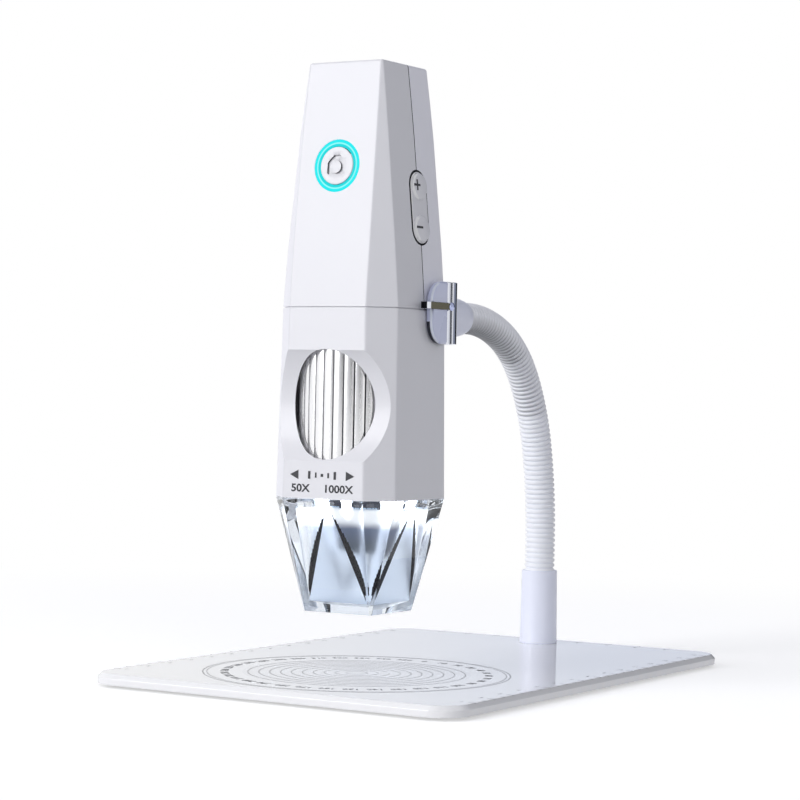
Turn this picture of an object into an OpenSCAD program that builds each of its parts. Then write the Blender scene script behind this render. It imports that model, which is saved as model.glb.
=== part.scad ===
// Hand-held digital microscope clipped to a gooseneck stand with a flat stage.
// +Z is up and the microscope's front looks along -Y. The origin is the middle
// of the stage's footprint, on the surface that the stand rests on.

/* [Stage] */
// Width of the stage plate, left to right
plate_w = 116; // [100:1:160]
// Depth of the stage plate, front to back
plate_d = 165; // [150:1:200]
// Thickness of the stage plate
plate_t = 3; // [2.5:0.5:6]
// Radius of the plate's corners
plate_r = 9; // [4:0.5:15]
// Bevel along the plate's upper edge
plate_bevel = 1.2; // [0.4:0.1:1.5]
// Radius of an anti-slip foot
foot_r = 5; // [3:0.5:8]
// Height of an anti-slip foot
foot_h = 0.8; // [0.5:0.1:3]
// Distance of a foot's middle from the plate's edges
foot_inset = 14; // [10:0.5:20]
// Distance of the optical axis from the plate's front edge
axis_front = 47; // [40:1:60]
// Distance of the post from the plate's rear edge
post_rear = 12; // [9:0.5:16]

/* [Post] */
// Height of the post sleeve above the plate
post_h = 22.7; // [18:0.1:26]
// Radius of the post sleeve at its top
post_r = 5.5; // [5.3:0.1:8]
// Widening of the post sleeve towards the plate
post_flare = 0.3; // [0:0.1:1.5]
// Radius of the plug that turns in the post
plug_r = 3.5; // [2.8:0.1:4]
// Thickness of the post's floor, which the screw threads into
post_floor = 5; // [3:0.5:8]
// Radius of the post screw's shank
post_screw_r = 2; // [1.5:0.1:2.5]

/* [Gooseneck] */
// Radius of the hose over its ribs
hose_r = 4.65; // [4.2:0.05:5]
// Depth of the grooves between ribs
rib_depth = 0.6; // [0.2:0.05:0.9]
// Spacing of the ribs along the hose
rib_pitch = 1.55; // [1.2:0.05:2.5]
// Radius of the steel core
core_r = 2.6; // [1.8:0.1:2.8]
// Depth that the hose sits in the post and in the collar
hose_seat = 4; // [3:0.5:6]
// Length of the lower curved run
lower_run = 29; // [26:0.5:32]
// Length of the middle curved run
middle_run = 22; // [19:0.5:25]
// Length of the upper curved run
upper_run = 22; // [19:0.5:25]
// Length of the run into the collar
head_run = 20.5; // [18:0.5:24]
// Turn of the lower run in degrees
lower_turn = 14; // [10:0.5:18]
// Turn of the middle run in degrees
middle_turn = 19.5; // [15:0.5:24]
// Turn of the upper run in degrees
upper_turn = 33; // [28:0.5:36]
// Break in the ribs at each bending point
bend_gap = 1.5; // [1.4:0.1:2]
// Radius of the smooth collar behind the holder
collar_r = 5.75; // [5.5:0.05:8]
// Wall of the collar at its mouth
collar_lip = 0.4; // [0.3:0.05:1]
// Length of the collar's tapered mouth
collar_taper = 6; // [3:0.5:10]
// Length of straight hose that shows before the collar
collar_back = 4.8; // [0:0.1:5]

/* [Holder] */
// Height of the holder
holder_h = 17.2; // [12:0.2:24]
// Height of the holder's middle below the housing's seam
holder_drop = 0.8; // [-4:0.2:6]
// Clearance between the holder and the housing
holder_gap = 0.25; // [0.2:0.05:0.6]
// Wall of the bent bracket
bracket_wall = 1.6; // [1.2:0.1:2.4]
// Outer radius of the bracket's bends
bracket_r = 6.8; // [3:0.1:8]
// Front end of the jaw pads, behind the optical axis
pad_front = 1.4; // [-4:0.2:3]
// Joint between pad and bracket, behind the optical axis
pad_back = 10; // [6:0.2:12]
// Radius of the pads' front corners
pad_r = 6; // [2:0.5:8]
// How far a pad stands out over the bracket
pad_proud = 0.5; // [0.3:0.1:1]
// Height of the grip band
band_h = 1.8; // [1.4:0.1:4]
// Height of the grip band above the holder's middle
band_up = 1.8; // [0:0.1:3]
// How far the band's rolled end stands before the pad
band_reach = 3.2; // [1.2:0.1:5]
// Thickness of the grip band
band_t = 0.7; // [0.5:0.1:1]
// Radius of the band's rolled end
band_roll = 0.9; // [0.7:0.05:1.2]

/* [Housing] */
// Gap between the stage and the hood's tip
hood_gap = 17.2; // [16:0.2:40]
// Height of the clear hood
hood_h = 31.3; // [26:0.1:40]
// Height of the lower sleeve
sleeve_h = 51.9; // [49:0.1:60]
// Height of the grip above the seam
grip_h = 66.8; // [62:0.1:80]
// Width of the square top, over its rounded edge
top_w = 23.6; // [20:0.1:26]
// Swell of the grip's faces over a straight taper
grip_swell = 0.5; // [0:0.05:1]
// Rounding of the top edge
top_round = 1.1; // [0.5:0.1:1.5]
// Width across flats at the seam
seam_w = 37.2; // [36:0.1:44]
// Width across flats where the hood begins
nose_w = 38.6; // [37.5:0.1:46]
// Width of the hood's square tip
tip_w = 21.8; // [18:0.1:28]
// Leg of the corner chamfers at and below the seam
corner_cut = 6.4; // [4:0.1:8]
// Leg of the corner chamfers at the very top and at the hood's tip
point_cut = 0.5; // [0.3:0.1:2]
// Rounding of the housing's long edges
edge_r = 0.7; // [0.3:0.05:0.9]
// Wall of the grip shells
wall = 1.6; // [1.2:0.1:2]
// Parting plane of the grip shells, behind the optical axis
split_y = 1.5; // [0:0.1:3]
// Width and depth of the parting grooves
groove = 0.35; // [0.2:0.05:0.6]

/* [Thumb scoop and focus wheel] */
// Middle of the scoop above the hood
scoop_up = 25.5; // [24.5:0.1:27]
// Height of the scoop
scoop_h = 29.8; // [26:0.1:30.2]
// Depth of the scoop
scoop_depth = 5.15; // [4:0.05:5.5]
// Width of the wheel's window
window_w = 24.8; // [18:0.1:25]
// Housing wall beside the wheel, at the seam
pocket_wall = 1; // [0.8:0.05:1.4]
// Running gap around the wheel
wheel_gap = 0.4; // [0.3:0.05:0.7]
// Height of the wheel
wheel_h = 30.4; // [30:0.1:31]
// Number of ribs on the wheel
wheel_ribs = 36; // [24:1:44]
// Height of the wheel's ribs
wheel_rib_h = 0.9; // [0.4:0.1:1.2]
// Wall of the wheel's drum under the ribs
drum_wall = 1.8; // [1.2:0.1:2.4]
// Turn of the wheel from stop to stop in degrees
wheel_turn = 270; // [180:10:300]
// Travel of the lens from stop to stop
lens_travel = 6; // [3:0.5:7]

/* [Optics] */
// Outer radius of the lens barrel
barrel_r = 7.5; // [6.5:0.1:8]
// Length of the lens barrel in its guide
barrel_len = 22; // [20:0.5:26]
// Length of the lens nose below the lamp board
nose_len = 15; // [10:0.5:17]
// Radius of the lens nose at its tip
nose_r = 4.6; // [4.2:0.1:6]
// Wall of the guide tube
guide_wall = 1.5; // [1.2:0.1:2]
// Wall of the wheel's hub
hub_wall = 3; // [2.4:0.1:3.4]
// Radius of the follower pin
pin_r = 1; // [0.7:0.05:1.2]
// Radius of the front lens
lens_r = 3.4; // [2.5:0.1:3.8]
// Thickness of all circuit boards
board_t = 1.2; // [0.8:0.1:1.6]
// Wall of the clear hood
hood_wall = 2.4; // [1.6:0.1:3]
// Thickness of the hood's clear floor
hood_floor = 3.2; // [2:0.1:5]
// Height of the hood's rim inside the sleeve
spigot_h = 2.2; // [1.6:0.1:3]
// Number of lamps around the lens
lamp_count = 8; // [4:1:12]
// Radius of one lamp
lamp_r = 1.6; // [1:0.1:2]
// Length of a lamp above its round end
lamp_h = 3.9; // [2.5:0.1:4.5]

/* [Controls] */
// Middle of the snapshot button above the seam
button_up = 38.1; // [34:0.1:40]
// Radius of the snapshot button
button_r = 5.55; // [4:0.05:6]
// Width of the glowing ring around it
ring_w = 1.4; // [0.8:0.1:2]
// Travel of the snapshot button
button_travel = 0.6; // [0.3:0.1:0.8]
// Middle of the zoom key above the seam
key_up = 27.6; // [24:0.1:30]
// Length of the zoom key
key_len = 20; // [16:0.1:22]
// Width of the zoom key
key_w = 8.4; // [6:0.1:9]
// Radius of the zoom key's pivot
pivot_r = 0.9; // [0.7:0.05:1.2]
// Tilt of the zoom key to each side in degrees
key_tilt = 2.5; // [1:0.5:3]

/* [Hidden] */
$fn = 64;

// Clearances: a running fit, a fixed seat and the thickness of a loft's end slice
run_fit = 0.07;
seat_fit = 0.12;
free_gap = 0.3;
slice = 0.01;
cut = 1;

// Heights
plate_top = foot_h + plate_t;
post_top = plate_top + post_h;
tip_z = plate_top + hood_gap;
nose_z = tip_z + hood_h;
seam_z = nose_z + sleeve_h;
top_z = seam_z + grip_h;
holder_z = seam_z - holder_drop;
scoop_z = nose_z + scoop_up;
button_z = seam_z + button_up;
key_z = seam_z + key_up;

// Places along Y
axis_y = axis_front - plate_d / 2;
post_y = plate_d / 2 - post_rear;
// Front face of the main board, behind the optical axis
board_y = 0;

// The housing tapers from nose to seam and swells from seam to top, in flat stretches.
// The controls share the long stretch, so one tilt holds for all of them.
panel_low = 0.24;
panel_high = 0.7;
grip_shares = [0, 0.12, panel_low, panel_high, 0.85, 1 - top_round / grip_h];
function blend(a, b, t) = a + (b - a) * t;
function sleeve_share(z) = (z - nose_z) / sleeve_h;
function grip_share(z) = (z - seam_z) / grip_h;
function swell_at(s) = blend(seam_w, top_w, s) / 2 + 4 * grip_swell * s * (1 - s);
round_half = swell_at(1 - top_round / grip_h);
grip_knots = concat([for (s = grip_shares) [blend(seam_z, top_z, s), swell_at(s)]],
                    [for (a = [30, 60, 90]) [top_z + top_round * (sin(a) - 1),
                                             round_half + top_round * (cos(a) - 1)]]);
function half_at(z) = z <= seam_z ? blend(nose_w, seam_w, sleeve_share(z)) / 2 : lookup(z, grip_knots);
tilt = atan((swell_at(panel_low) - swell_at(panel_high)) / (panel_high - panel_low) / grip_h);
function cut_at(z) = z <= seam_z ? corner_cut : blend(corner_cut, point_cut, grip_share(z));

// A chamfered square, moved in by a wall and with its corners rounded, as a ring of points
round_steps = 3;
least_cut = 0.2;
function turned(p, a) = [p[0] * cos(a) - p[1] * sin(a), p[0] * sin(a) + p[1] * cos(a)];
function chamfered_ring(half, leg, inset, round_r) =
    let(h = half - inset,
        c = max(leg - inset * (2 - sqrt(2)), least_cut),
        r = min(round_r, c),
        far = h - r,
        near = h - c - r * (sqrt(2) - 1))
    [for (q = [0:3], arc = [[far, near, 0], [near, far, 45]], j = [0:round_steps])
        let(a = arc[2] + 45 * j / round_steps)
        turned([arc[0] + r * cos(a), arc[1] + r * sin(a)], 90 * q)];
function lifted(ring, z) = [for (p = ring) [p[0], p[1], z]];

// One closed solid through a stack of rings
module stacked(rings) {
    count = len(rings[0]);
    last = len(rings) - 1;
    polyhedron(
        points = [for (ring = rings, p = ring) p],
        faces = concat(
            [[for (i = [0:count - 1]) i]],
            [[for (i = [0:count - 1]) last * count + count - 1 - i]],
            [for (k = [0:last - 1], i = [0:count - 1]) let(n = (i + 1) % count)
                [k * count + i, (k + 1) * count + i, (k + 1) * count + n, k * count + n]]));
}

// The housing's outline from one height to another, through the knots between them
module housing_loft(z0, z1, inset = 0, round_r = edge_r) {
    knots = [for (knot = grip_knots) if (knot[0] > z0 && knot[0] < z1) knot[0]];
    stacked([for (z = concat(z0, knots, z1))
        lifted(chamfered_ring(half_at(z), cut_at(z), inset, round_r), z)]);
}

// A rectangle with round corners
module rounded_rect(w, d, r) {
    square([w - 2 * r, d], center = true);
    square([w, d - 2 * r], center = true);
    for (x = [-1, 1], y = [-1, 1])
        translate([x * (w / 2 - r), y * (d / 2 - r)]) circle(r);
}

// Brings a child to the optical axis
module at_axis() { translate([0, axis_y, 0]) children(); }

// Local frames on the grip's sloping faces: -Y or +X points straight out
module on_front(z) { translate([0, -half_at(z), z]) rotate([-tilt, 0, 0]) children(); }
module on_right(y, z) { translate([half_at(z), y, z]) rotate([0, -tilt, 0]) children(); }
// A cylinder that goes in from the front face, from one depth to another
module front_rod(r, from, to) {
    translate([0, from, 0]) rotate([-90, 0, 0]) cylinder(r = r, h = to - from);
}
// A stadium plate on the right face, from one depth to another
module right_stadium(len, w, from, to) {
    translate([-to, 0, 0]) rotate([90, 0, 90]) linear_extrude(to - from) {
        square([w, len - w], center = true);
        for (z = [-1, 1]) translate([0, z * (len - w) / 2]) circle(w / 2);
    }
}

// A countersunk screw that points along +Z, with the head's flat at the origin
module countersunk(shank_r, head_r, head_h, len, grow = 0) {
    cylinder(r1 = head_r + grow, r2 = shank_r + grow, h = head_h);
    cylinder(r = shank_r + grow, h = len + grow);
}

// Stage
module stage_plate() {
    module edge_profile(half)
        polygon([[-half, 0], [half, 0], [half, plate_t - plate_bevel], [half - plate_bevel, plate_t],
                 [plate_bevel - half, plate_t], [-half, plate_t - plate_bevel]]);
    color("white") difference() {
        translate([0, 0, foot_h]) union() {
            rotate([90, 0, 90]) linear_extrude(plate_w - 2 * plate_r, center = true)
                edge_profile(plate_d / 2);
            rotate([90, 0, 0]) linear_extrude(plate_d - 2 * plate_r, center = true)
                edge_profile(plate_w / 2);
            for (x = [-1, 1], y = [-1, 1])
                translate([x * (plate_w / 2 - plate_r), y * (plate_d / 2 - plate_r), 0]) rotate_extrude()
                    polygon([[0, 0], [plate_r, 0], [plate_r, plate_t - plate_bevel],
                             [plate_r - plate_bevel, plate_t], [0, plate_t]]);
        }
        translate([0, post_y, foot_h - slice]) post_screw_shape(seat_fit);
    }
}

module stage_feet() {
    color("dimgray") for (x = [-1, 1], y = [-1, 1])
        translate([x * (plate_w / 2 - foot_inset), y * (plate_d / 2 - foot_inset), 0])
            cylinder(r = foot_r, h = foot_h);
}

// Post
head_spread = 1.9;
post_head_r = post_screw_r * head_spread;
post_head_h = post_screw_r;
module post_screw_shape(grow = 0) {
    countersunk(post_screw_r, post_head_r, post_head_h, plate_t + post_floor - free_gap, grow);
}
module post_screw() { color("silver") translate([0, post_y, foot_h]) post_screw_shape(); }

module post_sleeve() {
    color("lavender") translate([0, post_y, plate_top]) difference() {
        cylinder(r1 = post_r + post_flare, r2 = post_r, h = post_h);
        translate([0, 0, -cut]) cylinder(r = post_screw_r + seat_fit, h = post_floor + 2 * cut);
        translate([0, 0, post_floor]) cylinder(r = plug_r + run_fit, h = post_h);
        translate([0, 0, post_h - hose_seat]) cylinder(r = hose_r + seat_fit, h = hose_seat + cut);
    }
}

// Gooseneck route in the YZ plane: a straight foot, four arcs that together turn from up to forward
head_turn = 90 - lower_turn - middle_turn - upper_turn;
runs = [lower_run, middle_run, upper_run, head_run];
turns = [lower_turn, middle_turn, upper_turn, head_turn];
function radius_of(k) = runs[k] / (turns[k] * PI / 180);
function heading_of(k) = k == 0 ? 0 : heading_of(k - 1) + turns[k - 1];
function arc_step(k, a) = radius_of(k) * [cos(heading_of(k) + a) - cos(heading_of(k)),
                                          sin(heading_of(k) + a) - sin(heading_of(k))];
function rise_of(k) = arc_step(k, turns[k])[1];
foot_run = holder_z - post_top - rise_of(0) - rise_of(1) - rise_of(2) - rise_of(3);
function start_of(k) = k == 0 ? [post_y, post_top + foot_run]
    : start_of(k - 1) + arc_step(k - 1, turns[k - 1]);
function arc_place(k, s) = start_of(k) + arc_step(k, turns[k] * s / runs[k]);
function arc_heading(k, s) = heading_of(k) + turns[k] * s / runs[k];
// Beyond an arc's end the hose runs straight on into the collar
function hose_place(k, s) = k < 0 ? [post_y, post_top + s]
    : s <= runs[k] ? arc_place(k, s) : start_of(k + 1) + [runs[k] - s, 0];
function hose_heading(k, s) = k < 0 ? 0 : s <= runs[k] ? arc_heading(k, s) : 90;
collar_mouth = start_of(4)[0];

hose_sides = 12;
bore_r = core_r / cos(180 / hose_sides) + free_gap;
bore_step = 4;
function ring(k, s, r) = let (p = hose_place(k, s), a = hose_heading(k, s))
    [for (i = [0:hose_sides - 1]) let (t = 360 * i / hose_sides)
        [r * cos(t), p[0] + r * sin(t) * cos(a), p[1] + r * sin(t) * sin(a)]];

// A closed skin over rings that run along the outside and back through the bore
module tube_skin(rings) {
    n = len(rings);
    m = len(rings[0]);
    polyhedron(points = [for (r = rings) each r],
        faces = [for (i = [0:n - 1], j = [0:m - 1])
            let (next = (i + 1) % n * m, side = (j + 1) % m,
                 a = i * m + j, b = i * m + side, c = next + side, d = next + j)
            each [[a, c, b], [a, d, c]]]);
}

// One stretch of ribbed hose with its bore, from s0 to s1 along run k
module ribbed_hose(k, s0, s1) {
    ribs = round((s1 - s0) / rib_pitch);
    step = (s1 - s0) / ribs / 2;
    color("whitesmoke") tube_skin(concat(
        [for (i = [0:2 * ribs]) ring(k, s0 + i * step, hose_r - (i % 2 == 0 ? rib_depth : 0))],
        [for (i = [0:bore_step:ribs]) ring(k, s1 - 2 * i * step, bore_r)],
        ribs % bore_step == 0 ? [] : [ring(k, s0, bore_r)]));
}

module neck_hose_foot() { ribbed_hose(-1, run_fit - hose_seat, foot_run - bend_gap / 2); }
module neck_hose_lower() { ribbed_hose(0, bend_gap / 2, runs[0] - bend_gap / 2); }
module neck_hose_middle() { ribbed_hose(1, bend_gap / 2, runs[1] - bend_gap / 2); }
module neck_hose_upper() { ribbed_hose(2, bend_gap / 2, runs[2] - bend_gap / 2); }
module neck_hose_head() { ribbed_hose(3, bend_gap / 2, runs[3] + 2 * hose_r); }

// Steel core: a round rod along each run, with a ball that turns in the next rod's cup
ball_r = core_r + seat_fit;
module bend_ball(k, grow = 0) { translate([0, start_of(k)[0], start_of(k)[1]]) sphere(ball_r + grow); }
module arc_rod(k) {
    middle = start_of(k) - radius_of(k) * [cos(heading_of(k)), sin(heading_of(k))];
    translate([0, middle[0], middle[1]]) rotate([90, 0, 90]) rotate([0, 0, heading_of(k)])
        rotate_extrude(angle = turns[k]) translate([radius_of(k), 0]) circle(core_r);
}
module core_run(k) {
    color("gray") union() {
        difference() {
            arc_rod(k);
            bend_ball(k, seat_fit);
        }
        bend_ball(k + 1);
    }
}
plug_top = post_top - hose_seat;
module neck_plug() {
    color("gray") translate([0, post_y, plate_top + post_floor + run_fit])
        cylinder(r = plug_r, h = plug_top - plate_top - post_floor - run_fit);
}
module neck_core_foot() {
    color("gray") union() {
        translate([0, post_y, plug_top]) cylinder(r = core_r, h = hose_seat + foot_run);
        bend_ball(0);
    }
}
module neck_core_lower() { core_run(0); }
module neck_core_middle() { core_run(1); }
module neck_core_upper() { core_run(2); }
module neck_core_head() {
    color("gray") union() {
        difference() {
            arc_rod(3);
            bend_ball(3, seat_fit);
        }
        translate([0, collar_mouth + seat_fit, holder_z]) rotate([90, 0, 0])
            cylinder(r = core_r + seat_fit, h = 2 * hose_r + seat_fit);
    }
}

// Holder: a bracket bent round the housing's back, with a pad and a grip band on each side
holder_low = holder_z - holder_h / 2;
hold_in = max(half_at(holder_low), half_at(seam_z)) + holder_gap;
hold_out = hold_in + bracket_wall;
tongue_share = 0.6;
tongue_t = bracket_wall / 2;
tongue_len = (pad_back - pad_front) * tongue_share;
tongue_h = holder_h * tongue_share;
rivet_y = pad_back + 1.5;
rivet_r = 0.7;
rivet_head_r = 1.2;
rivet_head_h = 0.5;
band_z = holder_z + band_up;
band_back = rivet_y + 1.4;
collar_front = axis_y + hold_out;

module neck_collar() {
    len = collar_mouth - collar_back - collar_front;
    bore = 2 * hose_r - collar_back;
    mouth_r = hose_r + seat_fit + collar_lip;
    color("lavender") translate([0, collar_front, holder_z]) rotate([-90, 0, 0]) difference() {
        union() {
            cylinder(r = collar_r, h = len - collar_taper);
            translate([0, 0, len - collar_taper]) cylinder(r1 = collar_r, r2 = mouth_r, h = collar_taper);
        }
        translate([0, 0, len - bore]) cylinder(r = hose_r + seat_fit, h = bore + cut);
        translate([0, 0, -cut]) cylinder(r = holder_screw_r + seat_fit, h = holder_screw_len + cut);
    }
}

holder_screw_r = 1.5;
holder_screw_len = 10;
holder_head_h = 1.2;
module holder_screw_shape(grow = 0) {
    translate([0, axis_y + hold_in, holder_z]) rotate([-90, 0, 0])
        countersunk(holder_screw_r, head_spread * holder_screw_r, holder_head_h, holder_screw_len, grow);
}
module holder_screw() { color("silver") holder_screw_shape(); }

module holder_bracket() {
    color("gainsboro") difference() {
        union() {
            translate([0, axis_y, holder_low]) linear_extrude(holder_h) difference() {
                rounded_rect(2 * hold_out, 2 * hold_out, bracket_r);
                rounded_rect(2 * hold_in, 2 * hold_in, bracket_r - bracket_wall);
                translate([-hold_out - cut, pad_back - 3 * hold_out])
                    square([2 * hold_out + 2 * cut, 3 * hold_out]);
            }
            for (x = [-1, 1])
                translate([x * (hold_in + bracket_wall / 2), axis_y + pad_back - tongue_len / 2, holder_z])
                    cube([tongue_t, tongue_len + 2 * slice, tongue_h], center = true);
        }
        holder_screw_shape(slice);
        rivet_holes();
    }
}

module rivet_holes() {
    translate([0, axis_y + rivet_y, band_z]) rotate([0, 90, 0])
        cylinder(r = rivet_r + run_fit, h = 4 * hold_out, center = true);
}

// The pad's outline seen from the side, with round front corners
module pad_outline() {
    len = pad_back - pad_front;
    intersection() {
        translate([pad_front + len, 0]) rounded_rect(2 * len, holder_h, pad_r);
        translate([pad_front - cut, -holder_h]) square([len + cut, 2 * holder_h]);
    }
}

module jaw_pad(side) {
    slack = 2 * seat_fit;
    color("lightsteelblue") translate([0, axis_y, holder_z]) mirror([side < 0 ? 1 : 0, 0, 0]) difference() {
        translate([hold_in, 0, 0]) rotate([90, 0, 90]) linear_extrude(bracket_wall + pad_proud) pad_outline();
        translate([hold_in + bracket_wall / 2, pad_back, 0])
            cube([tongue_t + slack, 2 * tongue_len + slack, tongue_h + slack], center = true);
        translate([hold_out, pad_front - cut, band_up - (band_h + slack) / 2])
            cube([pad_proud + cut, pad_back - pad_front + 2 * cut, band_h + slack]);
    }
}
module jaw_pad_right() { jaw_pad(1); }
module jaw_pad_left() { jaw_pad(-1); }

module grip_bands() {
    roll_y = pad_front - band_reach;
    color("silver") difference() {
        for (x = [0, 1]) mirror([x, 0, 0]) translate([hold_out, axis_y, band_z - band_h / 2]) {
            translate([0, roll_y, 0]) cube([band_t, band_back - roll_y, band_h]);
            translate([band_t - band_roll, roll_y, 0]) cylinder(r = band_roll, h = band_h);
        }
        rivet_holes();
    }
}

module band_rivets() {
    color("silver") for (x = [0, 1]) mirror([x, 0, 0])
        translate([hold_in, axis_y + rivet_y, band_z]) rotate([0, 90, 0]) {
            cylinder(r = rivet_r, h = bracket_wall + band_t);
            translate([0, 0, bracket_wall + band_t])
                cylinder(r1 = rivet_head_r, r2 = rivet_r, h = rivet_head_h);
        }
}

// Lower sleeve: chamfered tube with the thumb scoop cut into the wheel's pocket
pocket_r = seam_w / 2 - pocket_wall;
pocket_low = scoop_z - wheel_h / 2 - free_gap;
pocket_high = scoop_z + wheel_h / 2 + free_gap;
seat_ledge = 0.4;
seat_r = pocket_r + seat_ledge;
flange_low = nose_z + spigot_h;
flange_t = 2;
ledge_z = flange_low + flange_t;
spigot_step = 2;
spigot_r = pocket_r - wheel_gap - spigot_step;
spigot_up = 4;
scoop_r = (scoop_h * scoop_h / 4 + scoop_depth * scoop_depth) / (2 * scoop_depth);

module sleeve() {
    color("white") at_axis() difference() {
        union() {
            housing_loft(nose_z, seam_z - groove);
            housing_loft(seam_z - 2 * groove, seam_z, groove);
            translate([0, 0, seam_z - spigot_up]) cylinder(r = grip_ring_r, h = 2 * spigot_up);
        }
        translate([0, 0, nose_z - cut]) cylinder(r = seat_r, h = ledge_z - nose_z + cut);
        translate([0, 0, ledge_z - slice]) cylinder(r = pocket_r, h = pocket_high - ledge_z + slice);
        translate([0, 0, pocket_high - cut]) cylinder(r = spigot_r, h = top_z);
        translate([0, scoop_depth - half_at(scoop_z) - scoop_r, scoop_z]) rotate([0, 90, 0])
            cylinder(r = scoop_r, h = 2 * nose_w, center = true);
        translate([0, 0, scoop_z]) rotate([90, 0, 0]) linear_extrude(nose_w) window_outline();
    }
}
// The ring that centres the grip shells on the sleeve
grip_ring_r = half_at(seam_z + spigot_up) - wall - seat_fit;

module window_outline() {
    tall = scoop_h - 4 * groove;
    steps = 72;
    polygon([for (i = [0:steps - 1]) [window_w * cos(360 * i / steps), tall * sin(360 * i / steps)] / 2]);
}

// Grip: two shells that meet on the parting plane
inner_edge_r = 0.1;
module grip_solid() {
    difference() {
        housing_loft(seam_z, top_z);
        housing_loft(seam_z - cut, top_z - wall, wall, inner_edge_r);
    }
}
module behind_split() { translate([-top_z, split_y, 0]) cube([2 * top_z, top_z, 2 * top_z]); }
module ahead_of_split() { translate([-top_z, split_y - top_z, 0]) cube([2 * top_z, top_z, 2 * top_z]); }

// Fasteners of the grip
boss_x = 11.2;
boss_z = seam_z + 9;
boss_r = 2.5;
stand_r = 2;
shell_screw_r = 1.1;
shell_head_r = 2;
shell_head_h = 1.4;
shell_head_y = 11;
shell_screw_y = -8;
stand_low_z = seam_z + spigot_up + stand_r + free_gap;
stand_high_z = top_z - 15.3;

module along_y(x, z, from, to, r) {
    translate([x, from, z]) rotate([-90, 0, 0]) cylinder(r = r, h = to - from);
}

module grip_front() {
    color("white") at_axis() difference() {
        union() {
            intersection() {
                grip_solid();
                ahead_of_split();
            }
            intersection() {
                housing_loft(seam_z, top_z, groove);
                union() {
                    for (x = [-boss_x, boss_x]) along_y(x, boss_z, -seam_w, split_y, boss_r);
                    for (z = [stand_low_z, stand_high_z]) along_y(0, z, -seam_w, board_y, stand_r);
                    on_right(split_y, key_z) key_bearing(-1);
                }
            }
        }
        for (x = [-boss_x, boss_x])
            along_y(x, boss_z, shell_screw_y - seat_fit, split_y + cut, shell_screw_r + seat_fit / 2);
        for (z = [stand_low_z, stand_high_z])
            along_y(0, z, board_y - board_screw_len, board_y + cut, board_screw_r + seat_fit / 2);
        on_front(button_z) front_rod(ring_r + seat_fit / 2, -cut, 2 * wall);
        key_opening();
        translate([0, usb_y, top_z - 2 * wall]) linear_extrude(3 * wall)
            rounded_rect(usb_w + 2 * seat_fit, usb_d + 2 * seat_fit, usb_r);
        parting_groove();
    }
}

// A shallow groove round the front shell's rim shows the parting line
module parting_groove() {
    difference() {
        translate([-top_z, split_y - groove, seam_z - cut])
            cube([2 * top_z, groove + slice, grip_h + 2 * cut]);
        housing_loft(seam_z - 2 * cut, top_z - groove, groove);
    }
}

module grip_rear() {
    color("white") at_axis() difference() {
        union() {
            intersection() {
                grip_solid();
                behind_split();
            }
            intersection() {
                housing_loft(seam_z, top_z, groove);
                union() {
                    for (x = [-boss_x, boss_x]) along_y(x, boss_z, split_y, seam_w, boss_r);
                    on_right(split_y, key_z) key_bearing(1);
                }
            }
        }
        for (x = [-boss_x, boss_x]) {
            along_y(x, boss_z, split_y - cut, seam_w, shell_screw_r + seat_fit);
            along_y(x, boss_z, shell_head_y, seam_w, shell_head_r + seat_fit);
        }
        key_opening();
    }
}

module shell_screws() {
    color("silver") at_axis() for (x = [-boss_x, boss_x]) {
        along_y(x, boss_z, shell_screw_y, shell_head_y + slice, shell_screw_r);
        along_y(x, boss_z, shell_head_y, shell_head_y + shell_head_h, shell_head_r);
    }
}

// Snapshot button, its glowing ring and its switch
ring_fit = 0.2;
ring_in = button_r + ring_fit;
ring_r = ring_in + ring_w;
ring_lip = 1;
ring_back = wall + 0.6;
button_proud = 0.2;
button_skirt = ring_back + free_gap;
skirt_t = 0.8;
switch_body = 3.5;
switch_w = 6;
plunger_r = 1.7;
plunger_h = 0.6;
stem_r = 1.5;
stem_gap = button_travel + free_gap;
// The plunger's end is a level plane that the sloping stem stops short of
switch_front = board_y - switch_body - plunger_h;
stem_end = (switch_front - stem_gap + half_at(button_z)) / cos(tilt);
switch_z = button_z - stem_end * sin(tilt);

module light_ring() {
    color("cyan") at_axis() on_front(button_z) difference() {
        union() {
            front_rod(ring_r, 0, ring_back);
            front_rod(ring_r + ring_lip, wall + seat_fit, ring_back);
        }
        front_rod(ring_in, -cut, ring_back + cut);
    }
}
module snap_button() {
    color("white") at_axis() on_front(button_z) {
        front_rod(button_r, -button_proud, button_skirt + slice);
        front_rod(ring_in + ring_w / 2, button_skirt, button_skirt + skirt_t);
        front_rod(stem_r, button_skirt, stem_end);
    }
}
module snap_switch() {
    color("dimgray") at_axis() {
        translate([-switch_w / 2, board_y - switch_body, switch_z - switch_w / 2])
            cube([switch_w, switch_body, switch_w]);
        along_y(0, switch_z, switch_front, board_y - switch_body + slice, plunger_r);
    }
}

// Zoom key: a stadium that rocks on a pivot held between both shells
key_gap = 0.25;
key_proud = 0.35;
key_skirt = 1;
skirt_from = wall + key_gap + (key_len / 2 + key_skirt) * sin(key_tilt);
pivot_depth = skirt_from + skirt_t / 2;
bearing_gap = 0.4;
bearing_t = 1.4;
bearing_from = key_w / 2 + key_skirt + bearing_gap;
bearing_to = bearing_from + bearing_t;
dome_margin = 0.6;
dome_r = key_w / 2 - dome_margin;
dome_h = 0.6;
dome_ball = (dome_r * dome_r + dome_h * dome_h) / (2 * dome_h);
dome_z = key_len / 2 - key_w / 2;

module key_bearing(side) {
    y = side > 0 ? bearing_from : -bearing_to;
    translate([-pivot_depth - 2 * pivot_r, y, -2 * pivot_r])
        cube([pivot_depth + 2 * pivot_r, bearing_t, 4 * pivot_r]);
}
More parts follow.
